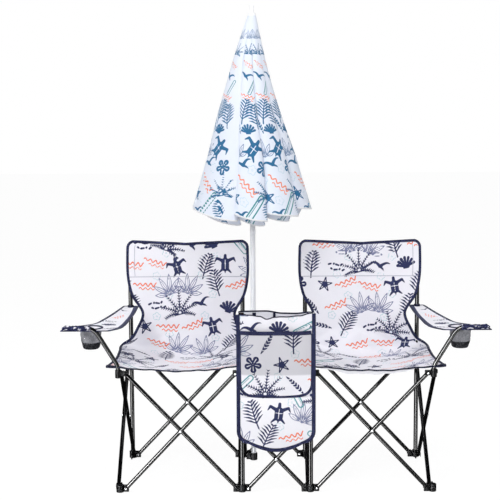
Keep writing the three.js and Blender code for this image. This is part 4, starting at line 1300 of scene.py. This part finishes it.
# An arm rest: printed cloth, a binding round it, a bunched sleeve on the tube in front and a loop
# behind. The sleeve's radius swings by two sines and shrinks towards its outer end.
def makeArmRest(side, word):
    x = posts[f"front_outer_{word}"][0]
    columns, rows = armRest["steps"]
    u, v = shareGrid(columns, rows)
    points = armSurface(side, x, u.ravel(), v.ravel()).reshape(rows, columns, 3)
    s, t = side * (points[:, :, 0] - x), points[:, :, 1] - rearY
    fields = printFields(s, t, places=armRest["motifs"])
    # the turned-in hem along the inner edge is solid navy
    width = np.linalg.norm(points[:, -1] - points[:, 0], axis=1)[:, None]
    fields[:, 0] = np.minimum(fields[:, 0], np.clip(u * width - armRest["turnIn"], -8, 8).ravel())
    part = gridPart(points, fields=fields, flip=side > 0)
    body = bodyOf[f"arm_rest_{word}"]
    piece = makePiece(f"arm_cloth_{word}", [part], [cloth, lining], body, [f"arm_rest_{word}"])
    thicken(piece, armRest["thickness"])
    normals = surfaceNormals(points)
    loop = np.concatenate([points[:, 0], points[-1, 1:-1], points[::-1, -1], points[0, -2:0:-1]])
    turned = np.concatenate([normals[:, 0], normals[-1, 1:-1], normals[::-1, -1], normals[0, -2:0:-1]])
    middle = points.reshape(-1, 3).mean(0)
    path = loop + unit(middle - loop) * 2
    parts = [edging(path[::2], turned[::2], armRest["binding"], closed=True)]
    radius, start, end = armRest["sleeve"]
    share = np.linspace(0, 1, 70)
    along = x + side * (start + (end - start) * share)
    lumps = 1 + 0.07 * np.sin(23 * share) + 0.05 * np.sin(51 * share + 1)
    lumps *= np.minimum(1, 0.35 + 5 * (1 - share))  # drawn to a point at its outer end
    route = np.column_stack([along, 0 * share + frontY, armTube["top"] + 0.8 * np.sin(17 * share)])
    parts.append(carriedPart(route, (0, 1, 0), ringOutline(radius, 24), 1, scale=lumps))
    loopRadius, loopHalf = armRest["loop"]
    loopPath = levelRing((*posts[f"rear_outer_{word}"], armRest["rearZ"]), loopRadius, 40)
    outline = ringOutline(1.0, 10) * [1.4, loopHalf]
    parts.append(carriedPart(loopPath, (0, 0, 1), outline, 2, closed=True))
    binding = makePiece(f"arm_binding_{word}", parts, [tape, sleeveCloth, darkTape], body)
    gather([piece, binding], (x, frontY, 0))


cup = {
    "across": 99.0,
    "behind": 56.0,
    "radius": 38.0,
    "foot": 29.5,
    "depth": 72.0,
    "wall": 2.0,
    "corner": 9.0,
    "ring": (4.0, 2.6),
}


# A cup holder: a wall turned about an upright axis, from a floor with a rounded corner straight out
# to the rim. Two sines round it crumple it, and fade to nothing at the rim and the floor.
def makeCup(side, word):
    x, y = posts[f"front_outer_{word}"]
    middle = np.array([x + side * cup["across"], y + cup["behind"], 0])
    top = armRest["frontZ"]
    low = top - cup["depth"]
    foot, corner = cup["foot"], cup["corner"]
    outer = [(low, 0), (low, foot - corner)]
    outer += [
        (low + corner - corner * math.cos(t), foot - corner + corner * math.sin(t))
        for t in np.linspace(0, np.pi / 2, 7)[1:]
    ]
    outer += [
        (low + (top - low) * s, foot + (cup["radius"] - foot) * s) for s in np.linspace(0.2, 1.0, 24)
    ]
    inner = [(z + (cup["wall"] if z < low + 1 else 0), max(r - cup["wall"], 0)) for z, r in reversed(outer)]
    inner[-1] = (low + cup["wall"], 0)
    part = turnedPart(middle, (0, 0, 1), outer + inner, 48)
    heights = part["points"][part["quads"], 2].mean(1)
    away = part["points"] - middle
    turns = np.arctan2(away[:, 1], away[:, 0])
    free = np.sin(np.pi * np.clip((top - away[:, 2]) / cup["depth"], 0, 1)) ** 0.7
    crumple = free * (1.3 * np.sin(5 * turns + away[:, 2] / 8) + 0.8 * np.sin(9 * turns - away[:, 2] / 5))
    part["points"][:, 0] += crumple * np.cos(turns)
    part["points"][:, 1] += crumple * np.sin(turns)
    node = f"cup_holder_{word}"
    piece = makePiece(f"cup_{word}", [part], [net, darkNet], bodyOf[node], [node])
    piece.data.polygons.foreach_set("material_index", np.concatenate([
        (heights < low + 0.35 * cup["depth"]).astype(np.int32), np.ones(len(part["fans"]), np.int32),
    ]))
    rim = levelRing(middle + [0, 0, top + 1.5], cup["radius"] + 1, 64)
    ring = edging(rim, (0, 0, 1), cup["ring"], closed=True)
    makePiece(f"cup_ring_{word}", [ring], [tape], bodyOf[node])


for side, word in leftRight:
    makeArmRest(side, word)
    makeCup(side, word)

print("loveseat: organiser bag")

bag = {
    "panelTop": 600.0,
    "rimFrom": 552.0,  # the panel is drawn up to its rim above this height
    "half": 97.0,
    "panelHalf": 129.0,
    "floor": 405.0,
    "depth": 150.0,
    "panelBottom": 180.0,
    "footSag": 28.0,
    "corner": 38.0,
    "boxCorner": 18.0,
    "boxHeight": 0.208,
    "wall": 3.0,
    "binding": (6.6, 2.4),
    "steps": (120, 190),
    "keep": 0.4,
    "flare": 0.32,
    # height of the front and of the rear rim, each crumpled, at places across
    "frontKnots": [-130, -84, -56, -32, -6, 31, 79, 116, 130],
    "frontHeights": [623, 621, 617, 607, 614, 615, 618, 627, 630],
    "rearKnots": [-97, -25, 20, 55, 97],
    "rearHeights": [611, 612, 604, 603, 608],
}
panelFront = frontY - 16.6 - 0.5 - bag["wall"]


# A panel's point: u across, v from its top to its foot, drawn in by a quarter round at the foot.
def panelGrid(half, top, foot, corner, y, columns, rows, bulge=0.0, full=0.625, footSag=0.0):
    u, v = np.meshgrid(np.linspace(-1, 1, columns), np.linspace(0, 1, rows))
    z = top + (foot - top) * v
    rise = np.clip((z - foot) / corner, 0, 1)
    x = u * (half - corner * (1 - np.sqrt(np.clip(1 - (1 - rise) ** 2, 0, 1))))
    swell = (1 - u**4) * np.sin(np.pi / 2 * np.minimum(1, (1 - v) / full))
    return np.stack([x, y - bulge * swell, z - footSag * (1 - u**2) * v], -1)


# Printed cloth that stands upright: its print is laid out in x and height.
def clothPart(points, seed):
    return gridPart(points, fields=printFields(points[:, :, 0], points[:, :, 2], seed), flip=True)


# The bag: a front panel, drawn up to a smooth line of heights along its top, and a belt carried
# round the box behind it.
def makeBag():
    body = bodyOf["organiser_bag"]
    columns, rows = bag["steps"]
    points = panelGrid(bag["panelHalf"], bag["panelTop"], bag["panelBottom"], bag["corner"],
                       panelFront + 1.5, columns, rows, footSag=bag["footSag"])
    rim = softLine(points[:, :, 0], bag["frontKnots"], bag["frontHeights"])
    near = np.clip((points[:, :, 2] - bag["rimFrom"]) / (bag["panelTop"] - bag["rimFrom"]), 0, 1)
    points[:, :, 2] += near * (rim - bag["panelTop"])
    inside = 1 - (points[:, :, 0] / bag["panelHalf"]) ** 4
    points[:, :, 1] += near**2 * 3 * np.sin(points[:, :, 0] / 9) * inside
    panel = makePiece("bag_panel", [clothPart(points, 9)], [cloth, lining], body, ["organiser_bag"])
    thicken(panel, 1.2)
    edge = edging(lowerEdge(points)[::2] + [0, -0.5, 0], np.array([0, -1.0, 0]), bag["binding"])
    top = edging(points[0, ::2], np.array([0, -1.0, 0]), (2.0, 1.7), 1)
    binding = makePiece("bag_binding", [edge, top], [tape, darkTape], body)
    # the box behind the panel: a belt round three sides and a floor
    half, back = bag["half"], panelFront + bag["depth"]
    route = roundedRoute(
        [(-half, panelFront + 3, 0), (-half, back, 0), (half, back, 0), (half, panelFront + 3, 0)],
        [bag["boxCorner"]] * 2, 10,
    )
    lengths = lengthAlong(route)
    share = np.linspace(0, lengths[-1], 150)
    line = pointsAt(route, lengths, share)
    rear = softLine(line[:, 0], bag["rearKnots"], bag["rearHeights"])
    level = np.linspace(1, 0, 90)[:, None]
    height = bag["floor"] + (rear[None] - bag["floor"]) * level
    belt = np.stack([line[:, 0] + 0 * height, line[:, 1] + 0 * height, height], -1)
    inward = np.sin(np.pi * level) * 3.5 * np.sin(share / 21)[None]
    belt[:, :, 1] += np.where(line[:, 1] > back - 1, inward, 0)
    # above the seats the box widens behind its posts
    behind = np.clip((belt[:, :, 1] - panelFront - 50) / 80, 0, 1)
    belt[:, :, 0] *= 1 + bag["flare"] * behind * np.clip((belt[:, :, 2] - 490) / 110, 0, 1) ** 1.5
    fields = printFields(np.repeat(share[None], 90, 0), belt[:, :, 2], 4)
    box = makePiece("bag_box", [gridPart(belt, fields=fields)], [cloth, lining], body)
    thicken(box, 1.5)
    floorPart = roundedPart(
        (0, (panelFront + 3 + back) / 2, bag["floor"]), (half - 1, (back - panelFront) / 2 - 3, 1.5), 1.2
    )
    tabs = [
        roundedPart((x, back - 4, 598), (wide, 1.2, 9), 1.0, finish=1) for x, wide in ((-74, 6.5), (-3, 4.5))
    ]
    base = makePiece("bag_floor", [floorPart, *tabs], [lining, darkTape], body)
    rearRim = edging(belt[0], np.array([0, 0, 1.0]), (1.9, 2.8))
    rim = makePiece("bag_rim", [rearRim], [darkTape], body)
    caps = []
    for side, word in leftRight:
        x, y = posts[f"front_inner_{word}"]
        profile = [(0, 0), (0, 10.4), (1, 11.2), (14, 11.4), (19, 10.6), (21.5, 8.6), (22.5, 0)]
        cap = turnedPart((x, y, 596), (0, 0, 1), profile, 28)
        caps.append(makePiece(f"bag_cap_{word}", [cap], [darkTape], body))
    gather([panel, binding, box, base, rim, *caps], (-innerX, frontY, 0))


pockets = {
    "upper": {"top": 561.0, "foot": 342.0, "corner": 42.0, "bulge": 16.0, "sag": 4.0, "steps": (90, 80)},
    "lower": {"top": 338.0, "foot": 186.0, "corner": 36.0, "bulge": 12.0, "sag": 27.0, "steps": (100, 70)},
    "half": 122.0,
    "tuck": 0.3,  # share of the lower pocket that is drawn in behind the upper one
}


# A pocket: a panel that bulges. The top of the lower one is tucked in by a quarter of a sine.
def makePocket(word, finishes, seed, edged):
    size = pockets[word]
    node = f"pocket_{word}"
    face = panelFront - 1.3
    points = panelGrid(
        pockets["half"], size["top"], size["foot"], size["corner"], face, *size["steps"], size["bulge"],
        footSag=size["sag"],
    )
    if word == "lower":
        away = np.linspace(0, 1, size["steps"][1])[:, None] / pockets["tuck"]
        points[:, :, 1] = face + (points[:, :, 1] - face) * np.sin(np.pi / 2 * np.minimum(1, away))
    piece = makePiece(f"{node}_cloth", [clothPart(points, seed)], finishes, bodyOf[node],
                      [node])
    thicken(piece, 1.0)
    trims = []
    if edged:
        parts = [
            edging(lowerEdge(points)[::2], np.array([0, -1.0, 0]), (5.0, 2.0)),
            edging(points[0, ::2], -surfaceNormals(points)[0, ::2], (7.0, 2.0)),
        ]
        trims = [makePiece(f"{node}_binding", parts, [tape], bodyOf[node])]
    gather([piece, *trims], (-innerX, frontY, 0))


makeBag()
# the upper pocket takes the cloth with painted shade above the bag's floor
makePocket("upper", [paintedShadeCloth, lining], 2, True)
makePocket("lower", [cloth, lining], 6, False)

print("loveseat: umbrella")

umbrella = {
    "poleRadius": 9.5,
    "collar": 10.2,
    "top": 1701.0,
    "canopyTop": 1662.0,
    "topRadius": 15.0,
    "hem": 946.0,
    "hemRadius": 219.0,
    "hemWave": 24.0,
    "hemRise": 13.0,
    "flare": 12.0,
    "foldDeep": 44.0,
    "foldDrop": 21.0,
    "foldShare": 0.3,
    "foldFull": 0.45,
    "sway": 13.0,
    "swayShare": 0.72,
    "steps": (96, 280),
    "cut": (186.0, 0.76),  # least flat width of a gore in mm, and its length in metres
    # where the folds tuck in, degrees round the pole from the front
    "tucks": [-97, -21, 13, 52, 98, 143, 187, 226, 263],
    # share of one gore's way round and of its swell, from one tuck to the next
    "lobe": [(-0.05, 0.0), (0.03, 0.5), (0.17, 0.82), (0.38, 0.97), (0.62, 1.0), (0.86, 0.97),
             (1.02, 0.84), (1.08, 0.62), (1.04, 0.3), (0.95, 0.0)],
}

# one gore's print: motif, place across and up from the tip, lean, size
goreMotifs = [
    ("sprig", 0, -70, 0, 0.55), ("fern", 2, -128, -6, 0.5),
    ("ripple", 1, -180, -34, 0.62), ("gull", -8, -222, -24, 0.85),
    ("reed", 16, -262, 64, 0.7), ("ripple", -4, -296, -16, 0.8),
    ("frond", -20, -348, -10, 1.05), ("frond", 24, -366, 16, 1.0),
    ("shell", -4, -410, 4, 0.9), ("feather", -44, -392, 14, 0.9),
    ("turtle", 10, -478, -38, 1.25), ("sprig", -58, -484, 14, 0.95),
    ("hibiscus", 48, -540, 6, 1.1), ("gull", -30, -536, 16, 1.1),
    ("bloom", 4, -548, 0, 0.8), ("ripple", -18, -606, -36, 1.25),
    ("fern", 62, -614, 14, 0.9), ("bloom", -74, -592, 0, 0.8),
    ("starfish", -70, -656, 12, 1.2), ("reed", 16, -678, 58, 1.3),
    ("bloom", -26, -662, 0, 0.8), ("frond", 74, -692, 40, 0.9),
    ("gull", -34, -712, 10, 0.9),
]


# The closed canopy: a cone whose gores hang in lobes, each tucked under the one before it. u goes
# round one gore, v down from the tip.
def canopySurface(gore, u, v):
    size = umbrella
    lobe = np.array([(*pair, 0.0) for pair in size["lobe"]])
    place = smoothCurve(lobe, u.ravel()).reshape(*u.shape, 3)
    first, last = size["tucks"][gore], size["tucks"][gore + 1]
    grown = np.minimum(1, v / size["foldFull"])
    level = u + (place[..., 0] - u) * (0.35 + 0.65 * grown)
    turn = np.radians(first + (last - first) * level)
    radius = size["topRadius"] + (size["hemRadius"] - size["topRadius"]) * v
    swell = place[..., 1]
    reach = radius * (1 - size["foldShare"] * grown * (1 - swell))
    wave = 0.55 - 1.1 * place[..., 0] - 0.75 * np.cos(turn) + 0.5 * np.abs(np.sin(turn)) - 0.3 * swell
    height = size["canopyTop"] + (size["hem"] - size["canopyTop"]) * v + v**3 * size["hemWave"] * wave
    sway = size["sway"] * np.sin(np.pi * np.minimum(1, v / size["swayShare"]))
    height = height + size["hemRise"] * v**6
    flare = size["flare"] * np.clip((v - 0.35) / 0.4, 0, 1) * np.clip(-np.sin(turn), 0, 1)
    return np.stack([reach * np.sin(turn) - sway - flare, -reach * np.cos(turn), height], -1)


# Each lobe is an open fold: from its hem the cloth turns back inside and hangs a little lower,
# furthest in the middle. Returned with its lower edge, the far side of the hem.
def foldReturn(gore, columns):
    u = np.linspace(0, 1, columns)[None]
    hem = canopySurface(gore, u, 1 + 0 * u)[0]
    inside = canopySurface(gore, u, 0.94 + 0 * u)[0]
    share = np.sin(np.pi * u[0]) ** 0.75
    inward = -unit(hem * [1, 1, 0])
    far = hem + inward * (3 + umbrella["foldDeep"] * share)[:, None]
    far = far - [0, 0, 1] * (umbrella["foldDrop"] * share)[:, None]
    inside = inside + inward * 5
    level = np.linspace(0, 1, 24)[:, None, None]
    return inside[None] + (far - inside)[None] * level


# The umbrella: two turned poles and a canopy of eight gores, each with a fold turned back.
def makeUmbrella():
    middle = np.array([-innerX + bracket["poleAcross"], rearY - bracket["poleForward"], 0])
    r, collar = umbrella["poleRadius"], umbrella["collar"]
    profile = [(0, 0), (0, r - 1), (1, r), (855, r), (855.7, r - 0.7), (855.7, 0)]
    lower = turnedPart(middle + [0, 0, 4.3], (0, 0, 1), profile, 36)
    makePiece("pole_lower", [lower], [enamel], bodyOf["umbrella_pole_lower"], ["umbrella_pole_lower"])
    top = umbrella["top"]
    profile = [
        (860.3, 0), (860.3, collar - 0.4), (860.8, collar), (879, collar), (880, r), (1655, r),
        (1656, 14.3), (1670, 14.3), (1672, 6.5), (1690, 6.5), (1692, 7.6), (1695, 8), (1698, 7.4),
        (1700.4, 5), (top, 3), (top, 0),
    ]
    upper = turnedPart(middle, (0, 0, 1), profile, 36)
    makePiece("pole_upper", [upper], [enamel], bodyOf["umbrella_pole_upper"], ["umbrella_pole_upper"])
    columns, rows = umbrella["steps"]
    u, v = shareGrid(columns, rows)
    body = bodyOf["umbrella_canopy"]
    hems, folds = [], []
    for gore in range(8):
        points = canopySurface(gore, u, v) + middle
        steps = np.linalg.norm(np.diff(points, axis=1), axis=2)
        along = np.column_stack([np.zeros(rows), steps.cumsum(1)])
        s = along - along[:, -1:] / 2
        up = (umbrella["hem"] - umbrella["canopyTop"]) * v
        part = gridPart(points, fields=printFields(s, up, places=goreMotifs), flip=True)
        turnedBack = foldReturn(gore, columns) + middle
        foldUp = turnedBack[:, :, 2] - umbrella["canopyTop"] + 40
        inner = printFields(s[-1] + 0 * foldUp, foldUp, places=goreMotifs)
        fold = gridPart(turnedBack, fields=inner, flip=True)
        folds.append(turnedBack[-1])
        name = "canopy" if gore == 0 else f"canopy_gore_{gore}"
        stands = ["umbrella_canopy"] if gore == 0 else []
        piece = makePiece(name, [part, fold], [canopyCloth, canopyInner], body, stands)
        thicken(piece, 0.8)
        hems.append(points[-1, :-1])
    loop, centre = np.concatenate(hems), middle + [0, 0, umbrella["hem"]]
    hem = edging(loop + [0, 0, 0.6], unit(loop - centre), (3.0, 1.2), closed=True)
    far = [edging(line[1:-1], unit(line[1:-1] - centre), (2.6, 1.2)) for line in folds]
    makePiece("canopy_hem", [hem, *far], [whiteTape], body)


makeUmbrella()

print("loveseat: camera, floor and light")

camera = {
    "place": (-0.0692839, -4.1363233, 1.2436738),
    "yaw": -0.00454167,
    "pitch": 0.10366656,
    "roll": -0.00487085,
    "lens": 82.460,
}
yaw, pitch, roll = camera["yaw"], camera["pitch"], camera["roll"]
levelRight = np.array([math.cos(yaw), -math.sin(yaw), 0])
ahead = np.array([math.cos(pitch) * math.sin(yaw), math.cos(pitch) * math.cos(yaw), -math.sin(pitch)])
levelUp = np.array([math.sin(pitch) * math.sin(yaw), math.sin(pitch) * math.cos(yaw), math.cos(pitch)])
right = math.cos(roll) * levelRight + math.sin(roll) * levelUp
up = -math.sin(roll) * levelRight + math.cos(roll) * levelUp
turned = np.column_stack([right, up, -ahead, camera["place"]])
lens = bpy.data.cameras.new("camera")
lens.sensor_fit = "HORIZONTAL"
lens.sensor_width = 36
lens.lens = camera["lens"]
eye = bpy.data.objects.new("camera", lens)
eye.matrix_world = Matrix([*turned.tolist(), [0, 0, 0, 1]])
bpy.context.scene.collection.objects.link(eye)
bpy.context.scene.camera = eye

floorMesh = bpy.data.meshes.new("floor")
floorHalf = 30
corners = [(x * floorHalf, y * floorHalf, 0) for x, y in ((-1, -1), (1, -1), (1, 1), (-1, 1))]
floorMesh.from_pydata(corners, [], [(0, 1, 2, 3)])
floor = bpy.data.objects.new("floor", floorMesh)
bpy.context.scene.collection.objects.link(floor)
floorMaterial, tree = newMaterial("paleFloor")
rays = addNode(tree, "ShaderNodeLightPath")
diffuse = addNode(tree, "ShaderNodeBsdfDiffuse", {"Color": (0.9, 0.9, 0.9, 1)})
glow = addNode(tree, "ShaderNodeEmission", {"Color": (1, 1, 1, 1), "Strength": 1.06})
clear = addNode(tree, "ShaderNodeBsdfTransparent")
seen = addNode(tree, "ShaderNodeMath", {0: rays.outputs["Is Camera Ray"], 1: 0.87}, operation="MULTIPLY")
lit = addNode(tree, "ShaderNodeMixShader", {0: seen, 1: diffuse, 2: glow})
surface = addNode(tree, "ShaderNodeMixShader", {0: rays.outputs["Is Glossy Ray"], 1: lit, 2: clear})
addNode(tree, "ShaderNodeOutputMaterial", {"Surface": surface})
floorMesh.materials.append(floorMaterial)

world = bpy.data.worlds.new("studio")
world.use_nodes = True
bpy.context.scene.world = world
tree = world.node_tree
tree.nodes.clear()
rays = addNode(tree, "ShaderNodeLightPath")
white = addNode(tree, "ShaderNodeMath", {
    0: rays.outputs["Is Camera Ray"], 1: rays.outputs["Is Transmission Ray"],
}, operation="MAXIMUM")
soft = addNode(tree, "ShaderNodeBackground", {"Color": (1, 1, 1, 1), "Strength": 0.5})
# what glossy surfaces mirror: a dark studio with long thin screens, which a tube draws into thin
# lines: way of the tubes, degrees round them from the front, half width, strength
slant = math.sqrt(0.5)
screens = [
    ((slant, 0.0, slant), 30, 0.09, 62.0),
    ((slant, 0.0, slant), -58, 0.05, 16.0),
    ((-slant, 0.0, slant), 50, 0.05, 5.0),
    ((0.0, 0.0, 1.0), -42, 0.06, 7.0),
    ((-0.46, 0.0, 0.888), 34, 0.08, 34.0),
]
wayOut = addNode(tree, "ShaderNodeTexCoord").outputs["Generated"]
shine = 0.02
for along, turn, half, strength in screens:
    along, front = np.array(along), np.array([0.0, -1.0, 0.0])
    facing = math.cos(math.radians(turn)) * front + math.sin(math.radians(turn)) * np.cross(front, along)
    across, toward = (
        addNode(tree, "ShaderNodeVectorMath", {0: wayOut, 1: way.tolist()}, operation="DOT_PRODUCT")
        for way in (np.cross(along, facing), facing)
    )
    off = addNode(tree, "ShaderNodeMath", {0: across.outputs["Value"]}, operation="ABSOLUTE")
    lit = addNode(tree, "ShaderNodeMath", {
        0: addNode(tree, "ShaderNodeMapRange", {0: off, 1: half * 1.2, 2: half * 0.8}),
        1: addNode(tree, "ShaderNodeMapRange", {0: toward.outputs["Value"], 1: 0.84, 2: 0.88, 4: strength}),
    }, operation="MULTIPLY")
    shine = addNode(tree, "ShaderNodeMath", {0: lit, 1: shine}, operation="ADD")
dim = addNode(tree, "ShaderNodeBackground", {"Color": (1, 1, 1, 1), "Strength": shine})
bright = addNode(tree, "ShaderNodeBackground", {"Color": (1, 1, 1, 1), "Strength": 1.0})
glossed = addNode(tree, "ShaderNodeMixShader", {0: rays.outputs["Is Glossy Ray"], 1: soft, 2: dim})
mixed = addNode(tree, "ShaderNodeMixShader", {0: white, 1: glossed, 2: bright})
addNode(tree, "ShaderNodeOutputWorld", {"Surface": mixed})


# A rectangular lamp at a place, turned to its aim.
def addLamp(name, place, aim, size, power):
    light = bpy.data.lights.new(name, "AREA")
    light.shape = "RECTANGLE"
    light.size, light.size_y = size
    light.energy = power
    lamp = bpy.data.objects.new(name, light)
    lamp.location = place
    lamp.rotation_euler = (Vector(aim) - Vector(place)).to_track_quat("-Z", "Y").to_euler()
    lamp.visible_glossy = False  # the screens stand for it in reflections
    bpy.context.scene.collection.objects.link(lamp)


addLamp("keyBox", (-2.6, -3.4, 3.4), (0, 0, 0.6), (1.3, 1.3), 72)
addLamp("fillBox", (3.0, -3.2, 2.4), (0, 0, 0.6), (3.0, 3.0), 44)
addLamp("sideStrip", (-3.4, -2.4, 0.9), (0, 0, 0.6), (0.22, 2.4), 14)
addLamp("topBox", (0, -1.0, 3.6), (0, 0, 0.4), (2.2, 1.2), 30)

bpy.context.scene.view_settings.view_transform = "Standard"
